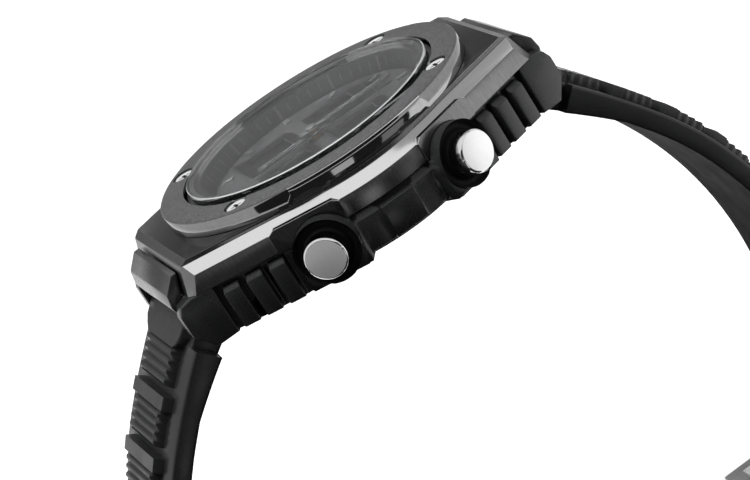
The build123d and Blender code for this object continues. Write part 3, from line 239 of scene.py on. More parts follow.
def makeStudio():
    floorHeight = cadBounds[0][2]
    bm = bmesh.new()
    bmesh.ops.create_grid(bm, x_segments=1, y_segments=1, size=studio["floorSize"] / 2)
    bmesh.ops.translate(bm, verts=bm.verts, vec=(0, 0, floorHeight))
    addStage("floor", bm, floorMaterial())
    for name, strength, low, high, near, far, lift in cards:
        bm = bmesh.new()
        start = Vector((math.cos(math.radians(low)), math.sin(math.radians(low)), 0))
        raised = Vector((0, 0, floorHeight + lift))
        ends = [bm.verts.new(start * reach + raised) for reach in (near, far)]
        edge = bm.edges.new(ends)
        bmesh.ops.spin(
            bm, geom=[*ends, edge], cent=(0, 0, 0), axis=(0, 0, 1),
            angle=math.radians(high - low), steps=studio["cardSteps"],
        )
        reflectedOnly(addStage(name, bm, lightMaterial(name, strength)))
    for name, strength, azimuth, elevation, distance, width, height in hangingCards:
        bm = bmesh.new()
        bmesh.ops.create_grid(bm, x_segments=1, y_segments=1, size=0.5)
        bmesh.ops.scale(bm, verts=bm.verts, vec=(width, height, 1))
        turn, tilt = math.radians(azimuth), math.radians(elevation)
        away = Vector((math.cos(turn) * math.cos(tilt), math.sin(turn) * math.cos(tilt), math.sin(tilt)))
        facing = away.to_track_quat("Z", "Y").to_matrix().to_4x4()
        bm.transform(Matrix.Translation(away * distance) @ facing)
        reflectedOnly(addStage(name, bm, lightMaterial(name, strength)))
    for name in ("top", "side"):
        data = bpy.data.lights.new("softbox_" + name, "AREA")
        data.shape = "SQUARE"
        data.size = studio[name + "Size"]
        data.energy = studio[name + "Power"]
        lamp = bpy.data.objects.new("softbox_" + name, data)
        # no lamp shows in a reflection, and only the top one through the glass
        lamp.visible_glossy = False
        lamp.visible_transmission = name == "top"
        bpy.context.scene.collection.objects.link(lamp)
        place = Vector(studio[name + "Place"])
        lamp.matrix_world = Matrix.Translation(place) @ place.to_track_quat("Z", "Y").to_matrix().to_4x4()
    makeWorld()


makeCamera()
makeStudio()
bpy.context.scene.view_settings.view_transform = "Standard"
print("camera and studio made")


# Finishes. Sizes of the grain are in metres.
finishes = {
    "resin": {"colour": (0.007, 0.0072, 0.0075), "worn": (0.011, 0.0112, 0.0115), "rough": 0.27,
              "spread": 0.10, "grain": 0.00022, "bump": 0.25, "depth": 0.000012, "specular": 0.36},
    "strapResin": {"colour": (0.0045, 0.0046, 0.0048), "worn": (0.0085, 0.0086, 0.0088), "rough": 0.33,
                   "spread": 0.12, "grain": 0.00016, "bump": 0.30, "depth": 0.000014, "specular": 0.36},
    "strapLining": {"colour": (0.0050, 0.0051, 0.0053), "worn": (0.0090, 0.0091, 0.0093), "rough": 0.75,
                    "spread": 0.12, "grain": 0.00016, "bump": 0.30, "depth": 0.000014, "specular": 0.05},
    "blockResin": {"colour": (0.005, 0.0051, 0.0053), "worn": (0.010, 0.0101, 0.0103), "rough": 0.27,
                   "spread": 0.08, "grain": 0.00018, "bump": 0.20, "depth": 0.000010, "specular": 1.0},
    "frameTop": {"colour": (0.060, 0.060, 0.062), "worn": (0.09, 0.09, 0.092), "metal": 1.0, "rough": 0.20,
                 "spread": 0.08, "grain": 0.00012, "bump": 0.25, "depth": 0.00001},
    "frameBevel": {"colour": (0.84, 0.84, 0.84), "worn": (0.90, 0.90, 0.90), "metal": 1.0, "rough": 0.18,
                   "spread": 0.05, "grain": 0.00010, "bump": 0.15, "depth": 0.000004},
    "frameEnd": {"colour": (0.17, 0.17, 0.173), "worn": (0.23, 0.23, 0.234), "metal": 1.0, "rough": 0.34,
                 "spread": 0.08, "grain": 0.00012, "bump": 0.25, "depth": 0.000008},
    "frameSide": {"colour": (0.13, 0.13, 0.132), "worn": (0.17, 0.17, 0.172), "metal": 1.0, "rough": 0.28,
                  "spread": 0.05, "grain": 0.00016, "bump": 0.20, "depth": 0.000004,
                  "stretch": (1, 1, 0.10)},
    "bezelTop": {"colour": (0.040, 0.040, 0.041), "worn": (0.095, 0.095, 0.097), "metal": 0.5,
                 "rough": 0.48, "spread": 0.12, "grain": 0.00020, "bump": 0.9, "depth": 0.000030},
    "bezelSide": {"colour": (0.27, 0.27, 0.274), "worn": (0.31, 0.31, 0.312), "metal": 1.0,
                  "rough": 0.06, "spread": 0.02, "grain": 0.0008, "bump": 0.05, "depth": 0.000004},
    "bezelEdge": {"colour": (0.80, 0.80, 0.80), "worn": (0.88, 0.88, 0.88), "metal": 1.0, "rough": 0.14,
                  "spread": 0.04, "grain": 0.0004, "bump": 0.05, "depth": 0.000002},
    # dark gloss; on the bezel screws it is painted shade in the cross and on the flank
    "gloss": {"colour": (0.006, 0.006, 0.0065), "worn": (0.009, 0.009, 0.0095), "rough": 0.16,
              "spread": 0.06, "grain": 0.0004, "bump": 0.08, "depth": 0.000004},
    # painted shade: a darker resin for the sunk rings round the pushers
    "paintedWellShade": {"colour": (0.002, 0.002, 0.002), "worn": (0.004, 0.004, 0.004), "rough": 0.60,
             "spread": 0.10, "grain": 0.0003, "bump": 0.2, "depth": 0.00001, "specular": 0.12},
    "polished": {"colour": (0.78, 0.78, 0.78), "worn": (0.86, 0.86, 0.86), "metal": 1.0, "rough": 0.10,
                 "spread": 0.05, "grain": 0.0004, "bump": 0.08, "depth": 0.000004},
    "satin": {"colour": (0.74, 0.74, 0.74), "worn": (0.84, 0.84, 0.84), "metal": 0.78, "rough": 0.42,
              "spread": 0.10, "grain": 0.00010, "bump": 0.3, "depth": 0.000006},
    "brushed": {"colour": (0.50, 0.50, 0.51), "worn": (0.62, 0.62, 0.62), "metal": 1.0, "rough": 0.30,
                "spread": 0.12, "grain": 0.00014, "bump": 0.3, "depth": 0.000008, "stretch": (0.05, 1, 1)},
    "brass": {"colour": (0.72, 0.52, 0.22), "worn": (0.80, 0.62, 0.32), "metal": 1.0, "rough": 0.28,
              "spread": 0.10, "grain": 0.0002, "bump": 0.15, "depth": 0.000005},
    "copper": {"colour": (0.75, 0.33, 0.16), "worn": (0.86, 0.44, 0.24), "metal": 1.0, "rough": 0.30,
               "spread": 0.10, "grain": 0.00012, "bump": 0.5, "depth": 0.00002, "stretch": (1, 0.08, 0.08)},
    "board": {"colour": (0.015, 0.07, 0.035), "worn": (0.02, 0.10, 0.05), "rough": 0.40,
              "spread": 0.10, "grain": 0.0006, "bump": 0.15, "depth": 0.00001},
    "plastic": {"colour": (0.03, 0.03, 0.032), "worn": (0.05, 0.05, 0.052), "rough": 0.42,
                "spread": 0.10, "grain": 0.0003, "bump": 0.2, "depth": 0.00001},
    "rubber": {"colour": (0.018, 0.018, 0.018), "worn": (0.03, 0.03, 0.03), "rough": 0.65,
               "spread": 0.10, "grain": 0.0003, "bump": 0.3, "depth": 0.00002},
    "dial": {"colour": (0.044, 0.044, 0.045), "worn": (0.062, 0.062, 0.0635), "rough": 0.62,
             "spread": 0.08, "grain": 0.00012, "bump": 0.3, "depth": 0.000012, "specular": 0.15},
    "chapter": {"colour": (0.012, 0.012, 0.0125), "worn": (0.020, 0.020, 0.021), "rough": 0.45,
                "specular": 0.25, "spread": 0.08, "grain": 0.0002, "bump": 0.15, "depth": 0.000006},
    "display": {"colour": (0.0020, 0.0022, 0.0026), "worn": (0.0034, 0.0036, 0.004), "rough": 0.30,
                "spread": 0.04, "grain": 0.0010, "bump": 0.05, "depth": 0.000004, "specular": 0.2},
    "segments": {"colour": (0.035, 0.037, 0.035), "worn": (0.05, 0.052, 0.05), "rough": 0.50,
                 "spread": 0.05, "grain": 0.0005, "bump": 0.05, "depth": 0.000002},
    "hand": {"colour": (0.09, 0.09, 0.092), "worn": (0.13, 0.13, 0.132), "metal": 0.3, "rough": 0.40,
             "spread": 0.06, "grain": 0.0002, "bump": 0.1, "depth": 0.000004},
    "print": {"colour": (0.05, 0.05, 0.05), "worn": (0.07, 0.07, 0.07), "rough": 0.60,
              "spread": 0.06, "grain": 0.0002, "bump": 0.1, "depth": 0.000004},
    # painted highlight: an opaque bright grey for the glass's chamfer, standing in for its reflection
    "paintedRimHighlight": {"colour": (0.34, 0.345, 0.35), "worn": (0.46, 0.46, 0.465), "metal": 0.55, "rough": 0.20,
               "spread": 0.06, "grain": 0.0003, "bump": 0.1, "depth": 0.000004},
}
pattern = {
    "grainDetail": 4,
    "cloudScale": 260,
    "cloudDetail": 3,
    "cloudRange": (0.3, 0.7),
    "wornRange": (0.35, 0.70),
}
clear = {"colour": (0.96, 0.97, 0.97, 1), "rough": 0.02, "ior": 1.45}
made = {}


def finish(name):
    # a stretched grain for colour and bump, a broad cloud for roughness
    if name in made:
        return made[name]
    look = finishes[name]
    material = bpy.data.materials.new(name)
    material.use_nodes = True
    tree = material.node_tree
    tree.nodes.clear()
    coordinates = tree.nodes.new("ShaderNodeTexCoord")
    mapping = tree.nodes.new("ShaderNodeMapping")
    mapping.inputs["Scale"].default_value = look.get("stretch", (1, 1, 1))
    grain = tree.nodes.new("ShaderNodeTexNoise")
    grain.inputs["Scale"].default_value = 1 / look["grain"]
    grain.inputs["Detail"].default_value = pattern["grainDetail"]
    cloud = tree.nodes.new("ShaderNodeTexNoise")
    cloud.inputs["Scale"].default_value = pattern["cloudScale"]
    cloud.inputs["Detail"].default_value = pattern["cloudDetail"]
    ramp = tree.nodes.new("ShaderNodeValToRGB")
    for stop, place, shown in zip(ramp.color_ramp.elements, pattern["wornRange"], ("colour", "worn")):
        stop.position = place
        stop.color = (*look[shown], 1)
    rough = tree.nodes.new("ShaderNodeMapRange")
    rough.inputs["From Min"].default_value = pattern["cloudRange"][0]
    rough.inputs["From Max"].default_value = pattern["cloudRange"][1]
    rough.inputs["To Min"].default_value = look["rough"] - look["spread"] / 2
    rough.inputs["To Max"].default_value = look["rough"] + look["spread"] / 2
    bump = tree.nodes.new("ShaderNodeBump")
    bump.inputs["Strength"].default_value = look["bump"]
    bump.inputs["Distance"].default_value = look["depth"]
    shader = tree.nodes.new("ShaderNodeBsdfPrincipled")
    shader.inputs["Metallic"].default_value = look.get("metal", 0.0)
    shader.inputs["Specular IOR Level"].default_value = look.get("specular", 0.5)
    out = tree.nodes.new("ShaderNodeOutputMaterial")
    tree.links.new(coordinates.outputs["Object"], mapping.inputs["Vector"])
    tree.links.new(mapping.outputs["Vector"], grain.inputs["Vector"])
    tree.links.new(coordinates.outputs["Object"], cloud.inputs["Vector"])
    tree.links.new(grain.outputs["Fac"], ramp.inputs["Fac"])
    tree.links.new(ramp.outputs["Color"], shader.inputs["Base Color"])
    tree.links.new(cloud.outputs["Fac"], rough.inputs["Value"])
    tree.links.new(rough.outputs["Result"], shader.inputs["Roughness"])
    tree.links.new(grain.outputs["Fac"], bump.inputs["Height"])
    tree.links.new(bump.outputs["Normal"], shader.inputs["Normal"])
    tree.links.new(shader.outputs["BSDF"], out.inputs["Surface"])
    made[name] = material
    return material


def glassFinish():
    # the display's finish, made clear
    material = finish("display").copy()
    material.name = "glass"
    shader = next(node for node in material.node_tree.nodes if node.type == "BSDF_PRINCIPLED")
    for link in list(material.node_tree.links):
        if link.to_socket in (shader.inputs["Base Color"], shader.inputs["Roughness"]):
            material.node_tree.links.remove(link)
    shader.inputs["Base Color"].default_value = clear["colour"]
    shader.inputs["Roughness"].default_value = clear["rough"]
    shader.inputs["Transmission Weight"].default_value = 1.0
    shader.inputs["IOR"].default_value = clear["ior"]
    return material


made["glass"] = glassFinish()
print("finishes ready")

# Common tools: a finished piece, rounded edges, a merged copy of a node, a turned shape
meshing = {
    "smooth": 32,
    "turnSteps": 192,
    "sharp": 25,
    "crowded": 1.6,
    "narrow": 28,
    "flat": 0.4,
    "merge": 0.002 * mm,
    "spinMerge": 0.001 * mm,
    "weld": 0.00001 * mm,
}


def addPiece(name, bm, looks, body, replaced=(), smooth=meshing["smooth"]):
    # points in one place joined, so no face is collapsed, then all faces outwards
    bmesh.ops.remove_doubles(bm, verts=bm.verts, dist=meshing["weld"])
    bmesh.ops.recalc_face_normals(bm, faces=bm.faces)
    if bm.calc_volume(signed=True) < 0:
        bmesh.ops.reverse_faces(bm, faces=bm.faces)
    data = bpy.data.meshes.new(name)
    bm.to_mesh(data)
    bm.free()
    for look in looks:
        data.materials.append(finish(look))
    data.shade_smooth()
    data.set_sharp_from_angle(angle=math.radians(smooth))
    piece = bpy.data.objects.new(name, data)
    bpy.context.scene.collection.objects.link(piece)
    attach(piece, body)
    if replaced:
        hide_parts(*replaced)
    return piece


def bevelSharp(bm, width, segments=2):
    # edges stay sharp at a very short neighbour or a narrow corner, where a bevel would fold over
    narrow, sharp = math.radians(meshing["narrow"]), math.radians(meshing["sharp"])
    shortest = meshing["crowded"] * width
    crowded = {vert for edge in bm.edges if edge.calc_length() < shortest for vert in edge.verts}
    crowded |= {loop.vert for face in bm.faces for loop in face.loops if loop.calc_angle() < narrow}
    rounded = [
        edge for edge in bm.edges
        if edge.is_manifold and edge.calc_face_angle() > sharp and not crowded & set(edge.verts)
    ]
    bmesh.ops.bevel(
        bm, geom=rounded, offset=width, offset_type="OFFSET", segments=segments,
        profile=0.5, affect="EDGES", clamp_overlap=False, material=-1,
    )


def nodeCopy(name):
    # the node's triangles, merged and with its flat faces whole again
    bm = bmesh.new()
    bm.from_mesh(nodes[name].data)
    bmesh.ops.remove_doubles(bm, verts=bm.verts, dist=meshing["merge"])
    bmesh.ops.dissolve_degenerate(bm, edges=bm.edges, dist=meshing["merge"])
    bmesh.ops.dissolve_limit(bm, angle_limit=math.radians(meshing["flat"]), verts=bm.verts, edges=bm.edges)
    # its stored corner directions no longer fit
    for layer in list(bm.loops.layers.float_vector.values()):
        bm.loops.layers.float_vector.remove(layer)
    return bm


def dress(name, width, look, choose=None, segments=2, looks=None):
    # a bevelled copy that stands for the node
    bm = nodeCopy(name)
    if width:
        bevelSharp(bm, width, segments)
    for face in bm.faces:
        face.material_index = choose(face) if choose else 0
    return addPiece(name + "_skin", bm, looks or [look], nodes[name]["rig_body"], [name])


def spun(profile, steps=meshing["turnSteps"]):
    # a closed outline of radius and height, turned about Z
    bm = bmesh.new()
    verts = [bm.verts.new((radius, 0, height)) for radius, height in profile]
    outline = [bm.edges.new((a, b)) for a, b in zip(verts, verts[1:] + verts[:1])]
    bmesh.ops.spin(
        bm, geom=[*verts, *outline], cent=(0, 0, 0), axis=(0, 0, 1),
        angle=2 * math.pi, steps=steps, use_merge=True,
    )
    bmesh.ops.remove_doubles(bm, verts=bm.verts, dist=meshing["spinMerge"])
    bmesh.ops.dissolve_degenerate(bm, edges=bm.edges, dist=meshing["spinMerge"])
    bmesh.ops.recalc_face_normals(bm, faces=bm.faces)
    return bm


# Resin body and end blocks
body = {
    "bevel": 0.16 * mm,
    "blockBevel": 0.14 * mm,
    "wellWall": 0.45 * mm,
    "wellDepth": 0.9 * mm,
    "facing": 0.999,
    "near": 0.01 * mm,
}
pusherHours = ("2", "10", "4", "8")


def makeBody():
    # a sunk ring around each pusher, its walls and floor painted darker as shade, then all edges rounded
    bm = nodeCopy("resin_body")
    for hour in pusherHours:
        outward = -Vector(joints["pusher_" + hour + "_press"]["axis"])
        reach = max(vert.co.dot(outward) for vert in bm.verts)
        ring = [
            face for face in bm.faces
            if face.normal.dot(outward) > body["facing"]
            and face.verts[0].co.dot(outward) > reach - body["near"]
        ]
        sunk = bmesh.ops.inset_region(
            bm, faces=ring, thickness=body["wellWall"], depth=-body["wellDepth"], use_even_offset=True,
        )["faces"]
        # the sunk ring takes the painted shade
        for face in ring + sunk:
            face.material_index = 1
    bevelSharp(bm, body["bevel"])
    addPiece("resin_body_skin", bm, ["resin", "paintedWellShade"], "case", ["resin_body"])


makeBody()
for hour in ("12", "6"):
    dress("end_block_" + hour, body["blockBevel"], "blockResin")
print("resin body dressed")

# Metal frame: dark brushed top, bright bevel, brushed band and tabs
caseFrame = {
    "bevel": 0.06 * mm,
    "bevelLow": 0.60,
    "bevelHigh": 0.93,
    "endStart": 22.5 * mm,
    "endFacing": 0.5,
}


def frameFace(face):
    if face.normal.z > caseFrame["bevelHigh"]:
        return 0
    middle = face.calc_center_median()
    if abs(middle.y) > caseFrame["endStart"] and abs(face.normal.y) > caseFrame["endFacing"]:
        return 3
    if caseFrame["bevelLow"] < face.normal.z <= caseFrame["bevelHigh"]:
        return 1
    return 2


dress(
    "case_frame", caseFrame["bevel"], None, frameFace,
    looks=["frameTop", "frameBevel", "frameSide", "frameEnd"],
)
print("frame dressed")

# Bezel: matt top, thin polished edge, mirror side
bezel = {
    "lip": 0.25 * mm,
    "chamfer": 0.75 * mm,
    "round": 0.06 * mm,
    "topFacing": 0.95,
    "chamferFacing": 0.6,
    "edgeFacing": 0.1,
    "screwFacing": 0.5,
    "smooth": 40,
}


def makeBezel():
    inner = min(math.hypot(v.co.x, v.co.y) for v in nodes["bezel_ring"].data.vertices)
    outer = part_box("bezel_ring")[1].x
    bm = nodeCopy("bezel_ring")
    bevelSharp(bm, bezel["round"], 1)
    for face in bm.faces:
        radius, facing = math.hypot(*face.calc_center_median().xy), face.normal.z
        chamfer = facing > bezel["chamferFacing"] and radius > outer - bezel["chamfer"]
        if facing > bezel["topFacing"] or chamfer:
            face.material_index = 0
        elif facing > bezel["edgeFacing"] and radius > outer - bezel["lip"]:
            face.material_index = 2
        elif radius > outer - bezel["lip"] or radius < inner + bezel["lip"]:
            face.material_index = 1
        else:
            face.material_index = 3
    addPiece(
        "bezel_ring_skin", bm, ["bezelTop", "bezelSide", "bezelEdge", "resin"],
        "case", ["bezel_ring"], bezel["smooth"],
    )


def dressScrews():
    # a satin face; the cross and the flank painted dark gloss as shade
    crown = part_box("bezel_screws")[1].z - bezel["round"]
    dress(
        "bezel_screws", bezel["round"], None, segments=1, looks=["satin", "gloss"],
        choose=lambda face: not (
            face.normal.z > bezel["screwFacing"] and face.calc_center_median().z > crown
        ),
    )


makeBezel()
dressScrews()
print("bezel made")

# Glass and the round case around it
glass = {
    "edge": 0.13 * mm,
    "plugRadius": 15.9 * mm,
    "seat": 12.75 * mm,
    "slopeLow": 0.3,
    "slopeHigh": 0.95,
    "smooth": 20,
}
roundCase = {"bevel": 0.08 * mm, "neckFrom": 10.5 * mm, "backBevel": 0.12 * mm, "screwBevel": 0.05 * mm}


def makeGlass():
    low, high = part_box("crystal")
    radius = high.x
    bm = spun([
        (0, low.z),
        (glass["plugRadius"], low.z),
        (glass["plugRadius"], glass["seat"]),
        (radius, glass["seat"]),
        (radius, high.z - glass["edge"]),
        (radius - glass["edge"], high.z),
        (0, high.z),
    ])
    # the sloping chamfer takes the painted highlight, the rest stays clear glass
    for face in bm.faces:
        face.material_index = 1 if glass["slopeLow"] < face.normal.z < glass["slopeHigh"] else 0
    addPiece("crystal_skin", bm, ["glass", "paintedRimHighlight"], "case", ["crystal"], glass["smooth"])


makeGlass()
dress(
    "mid_case", roundCase["bevel"], None, looks=["polished", "gloss"],
    choose=lambda face: face.calc_center_median().z > roundCase["neckFrom"],
)
dress("case_back", roundCase["backBevel"], "brushed")
dress("case_back_screws", roundCase["screwBevel"], "polished")
print("glass and round case made")

# Dial: window frames, minute track, hour marks, display digits and hands
dial = {
    "frameHeight": 0.12 * mm,
    "frameBevel": 0.04 * mm,
    "fieldX": 5.25 * mm,
    "fieldY": 5.15 * mm,
    "fieldWidth": 8.1 * mm,
    "fieldLength": 8.3 * mm,
    "smallFieldX": -4.3 * mm,
    "smallFieldY": 10.6 * mm,
    "smallFieldWidth": 6.8 * mm,
    "smallFieldLength": 2.2 * mm,
    "windowX": 5.3 * mm,
    "windowY": 4.9 * mm,
    "windowWidth": 6.6 * mm,
    "windowLength": 5.4 * mm,
    "smallX": -5.3 * mm,
    "smallY": 10.4 * mm,
    "smallWidth": 4.2 * mm,
    "smallLength": 1.6 * mm,
    "tickLength": 1.1 * mm,
    "tickWidth": 0.16 * mm,
    "tickHeight": 0.05 * mm,
    "longTick": 1.7,
    "wideTick": 2.2,
    "ringFoot": 14.3 * mm,
    "ringLip": 15.2 * mm,
    "ringBevel": 0.10 * mm,
    "plateBevel": 0.05 * mm,
    "markerBevel": 0.06 * mm,
    "handBevel": 0.05 * mm,
}


def box(bm, size, place):
    matrix = Matrix.Translation(place) @ Matrix.Diagonal((*size, 1))
    return bmesh.ops.create_cube(bm, size=1, matrix=matrix)["verts"]


def makeWindows():
    # a raised dark field around each window of the display
    bm = bmesh.new()
    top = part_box("dial_plate")[1].z
    # middle, width and length of each window and of its field
    pairs = [
        (
            (x * dial["windowX"], y * dial["windowY"], dial["windowWidth"], dial["windowLength"]),
            (x * dial["fieldX"], y * dial["fieldY"], dial["fieldWidth"], dial["fieldLength"]),
        )
        for x in (-1, 1) for y in (-1, 1)
    ]
    pairs.append((
        (dial["smallX"], dial["smallY"], dial["smallWidth"], dial["smallLength"]),
        (dial["smallFieldX"], dial["smallFieldY"], dial["smallFieldWidth"], dial["smallFieldLength"]),
    ))
    for pair in pairs:
        loops = []
        for x, y, width, length in pair:
            ring = bmesh.ops.create_grid(bm, x_segments=1, y_segments=1, size=0.5)["verts"]
            bmesh.ops.scale(bm, verts=ring, vec=(width, length, 1))
            bmesh.ops.translate(bm, verts=ring, vec=(x, y, top))
            face = ring[0].link_faces[0]
            loops += list(face.edges)
            bm.faces.remove(face)
        flat = bmesh.ops.bridge_loops(bm, edges=loops)["faces"]
        lifted = bmesh.ops.extrude_face_region(bm, geom=flat)["geom"]
        verts = [item for item in lifted if isinstance(item, bmesh.types.BMVert)]
        bmesh.ops.translate(bm, verts=verts, vec=(0, 0, dial["frameHeight"]))
    bevelSharp(bm, dial["frameBevel"], 1)
    addPiece("window_fields", bm, ["display"], "case")


def makeTrack():
    # sixty marks on the slope of the ring, the fifth ones longer
    bm = bmesh.new()
    foot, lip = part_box("chapter_ring")
    rise = lip.z - foot.z
    run = dial["ringLip"] - dial["ringFoot"]
    slope = math.atan2(rise, run)
    for minute in range(60):
        long = minute % 5 == 0
        length = dial["tickLength"] * (dial["longTick"] if long else 1.0)
        width = dial["tickWidth"] * (dial["wideTick"] if long else 1.0)
        middle = Vector((dial["ringFoot"] + run / 2, 0, foot.z + rise / 2))
        lean = Matrix.Rotation(-slope, 4, "Y")
        place = Matrix.Translation(middle) @ lean
        turn = Matrix.Rotation(math.radians(6 * minute), 4, "Z")
        verts = box(bm, (length, width, dial["tickHeight"]), Vector((0, 0, 0)))
        bmesh.ops.transform(bm, matrix=turn @ place, verts=verts)
    addPiece("minute_track", bm, ["print"], "case")


digitStrokes = {
    # top, upper left, upper right, middle, lower left, lower right, bottom
    "0": "1110111", "1": "0010010", "2": "1011101", "3": "1011011", "5": "1101011", "8": "1111111",
}
display = {
    # side and height of each window on the dial, and the number it shows
    "readings": ((-1, 1, "10"), (1, 1, "58"), (-1, -1, "23"), (1, -1, "30")),
    "height": 2.6 * mm,
    "width": 1.4 * mm,
    "stroke": 0.24 * mm,
    "gap": 0.06 * mm,
    "step": 1.75 * mm,
    "lift": 0.02 * mm,
}


def makeDigits():
    # two digits of raised strokes in each large window
    bm = bmesh.new()
    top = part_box("lcd_panel")[1].z + display["lift"]
    half, wide, stroke = display["height"] / 2, display["width"], display["stroke"]
    strokes = [
        ((0, half), (wide, stroke)), ((-wide / 2, half / 2), (stroke, half)),
        ((wide / 2, half / 2), (stroke, half)), ((0, 0), (wide, stroke)),
        ((-wide / 2, -half / 2), (stroke, half)), ((wide / 2, -half / 2), (stroke, half)),
        ((0, -half), (wide, stroke)),
    ]
    for side, high, word in display["readings"]:
        for place, digit in enumerate(word):
            x = side * dial["windowX"] + (place - 0.5) * display["step"]
            y = high * dial["windowY"]
            for shown, ((dx, dy), (across, along)) in zip(digitStrokes[digit], strokes):
                if shown == "1":
                    size = (across - display["gap"], along - display["gap"], display["lift"])
                    box(bm, size, Vector((x + dx, y + dy, top)))
    addPiece("display_digits", bm, ["segments"], "case")


makeWindows()
makeTrack()
makeDigits()
dress("dial_plate", dial["plateBevel"], "dial", segments=1)
dress("hour_markers", dial["markerBevel"], "hand", segments=1)
dress("chapter_ring", dial["ringBevel"], "chapter")
dress("minute_hand", dial["handBevel"], "hand", segments=1)
dress("hour_hand", dial["handBevel"], "hand", segments=1)
handCap = {"radius": 0.8 * mm, "height": 0.25 * mm, "brim": 0.12 * mm, "arcStep": math.pi / 12, "steps": 64}


def makeHandCap():
    # a low dome over the middle of the hands
    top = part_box("minute_hand")[1].z
    radius, height, brim = handCap["radius"], handCap["height"], handCap["brim"]
    turns = [handCap["arcStep"] * step for step in range(6)]
    arc = [(radius * math.cos(turn), top + brim + height * math.sin(turn)) for turn in turns]
    bm = spun([(0, top - brim), (radius, top - brim), *arc, (0, arc[-1][1])], handCap["steps"])
    addPiece("hand_cap", bm, ["hand"], nodes["minute_hand"]["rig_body"])


makeHandCap()
print("dial made")

# Pushers: satin face, polished rim and neck
pusher = {
    "rim": 0.20 * mm,
    "stem": 0.9 * mm,
    "head": 2.9 * mm,
    "round": 0.05 * mm,
    "near": 0.01 * mm,
    "facing": 0.99,
    "steps": 96,
    "smooth": 20,
}


def makePusher(hour):
    name = "pusher_" + hour
    outward = -Vector(joints[name + "_press"]["axis"])
    points = [v.co for v in nodes[name].data.vertices]
    reach = max(point.dot(outward) for point in points)
    front = [point for point in points if point.dot(outward) > reach - pusher["near"]]
    centre = sum(front, Vector()) / len(front)
    depth = reach - min(point.dot(outward) for point in points)
    radius = max((point - centre - outward * (point - centre).dot(outward)).length for point in points)
    bm = spun([
        (0, 0),
        (radius - pusher["rim"], 0),
        (radius, -pusher["rim"]),
        (radius, -pusher["head"]),
        (pusher["stem"], -pusher["head"]),
        (pusher["stem"], -depth),
        (0, -depth),
    ], pusher["steps"])
    bevelSharp(bm, pusher["round"])
    for item in bm.faces:
        item.material_index = 0 if item.normal.z > pusher["facing"] else 1
    turn = outward.to_track_quat("Z", "Y").to_matrix().to_4x4()
    bm.transform(Matrix.Translation(centre) @ turn)
    addPiece(name + "_skin", bm, ["satin", "polished"], name, [name], pusher["smooth"])


def makeSpring(hour):
    # the coil, dressed and with a mesh of its own; the real coil shortens as its pusher goes in
    piece = dress("pusher_spring_" + hour, 0, "polished")
    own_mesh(piece)


for hour in pusherHours:
    makePusher(hour)
    makeSpring(hour)
print("pushers made")

# Strap: a flat sheet with its relief, cut out, thickened and bent along the path
strap = {
    "shortHeading": 46.0,
    "longHeading": 40.0,
    "upper": (110 * mm, 8.3),
    "lower": 45 * mm,
    "shortLength": 74 * mm,
    "tail": 20 * mm,
    "thickness": 3.1 * mm,
    "halfWidth": 11.0 * mm,
    "endHalfWidth": 9.7 * mm,
    "taper": (10 * mm, 54 * mm),
    "rootHalfWidth": 8.85 * mm,
    "rootLength": 3.8 * mm,
    "hub": 2.2 * mm,
    "endHub": 1.9 * mm,
    "hubSteps": 6,
    "plateHalfWidth": 8.5 * mm,
    "plateRows": (1.2 * mm, 2.0 * mm),
    "plateEnd": 2.8 * mm,
    "bandStart": 4.6 * mm,
    "bandHalfWidth": 6.0 * mm,
    "bandInset": 0.75 * mm,
    "barHalfWidth": 7.2 * mm,
    "rise": 0.8 * mm,
    "terrace": 0.6 * mm,
    "heelStart": 2.0 * mm,
    "heelEnd": 12.0 * mm,
    "heelDepth": 1.2 * mm,
    "shortGrooves": 7,
    "longGrooves": 5,
    "grooveFirst": 9.8 * mm,
    "groovePitch": 7.3 * mm,
    "grooveWidth": 1.1 * mm,
    "grooveFloor": 0.02 * mm,
    "barLength": 1.9 * mm,
    "barBevel": 0.20 * mm,
    "shortRibbedTo": 56 * mm,
    "longRibbedTo": 45 * mm,
    "ribPitch": 1.08 * mm,
    "ribDepth": 0.34 * mm,
    # place along a rib and depth below its crown
    "ribShape": ((0.04, 1.0), (0.24, 0.12), (0.42, 0.0), (0.62, 0.04), (0.80, 0.75), (0.92, 1.0)),
    "plainPitch": 1.6 * mm,
    "plainLead": 1.0 * mm,
    "holes": 8,
    "holeFirst": 50.0 * mm,
    "holePitch": 6.5 * mm,
    "holeRadius": 1.1 * mm,
    "slotHalfWidth": 1.4 * mm,
    "slotLength": 2.9 * mm,
    "slotSteps": 3,
    "buckleRows": (3 * mm, 1.5 * mm),
    "buckleRise": 0.6,
    "corner": 5.0 * mm,
    "cornerSteps": 8,
    "cornerDepth": 0.9,
    "tipRise": 0.3,
    "slit": 0.05 * mm,
    "smooth": 38,
    "keeperBevel": 0.25 * mm,
    "frameBevel": 0.25 * mm,
    "tongueBevel": 0.15 * mm,
}
strapEdge = {
    # the rounded long edge, then the foot and the shoulder of the raised band
    "round": 0.45 * mm,
    "thinnest": 0.5 * mm,
    "near": 0.12 * mm,
    "nearDrop": 0.35,
    "far": 0.34 * mm,
    "foot": 0.34 * mm,
    "toe": 0.10 * mm,
    "toeLift": 0.06,
    "shoulder": 0.06 * mm,
    "shoulderDrop": 0.20,
    "crown": 0.26 * mm,
    "crownInner": 0.72,
    "crownInmost": 0.3,
    "underside": 0.3 * mm,
    "undersideFrom": 0.6 * mm,
}


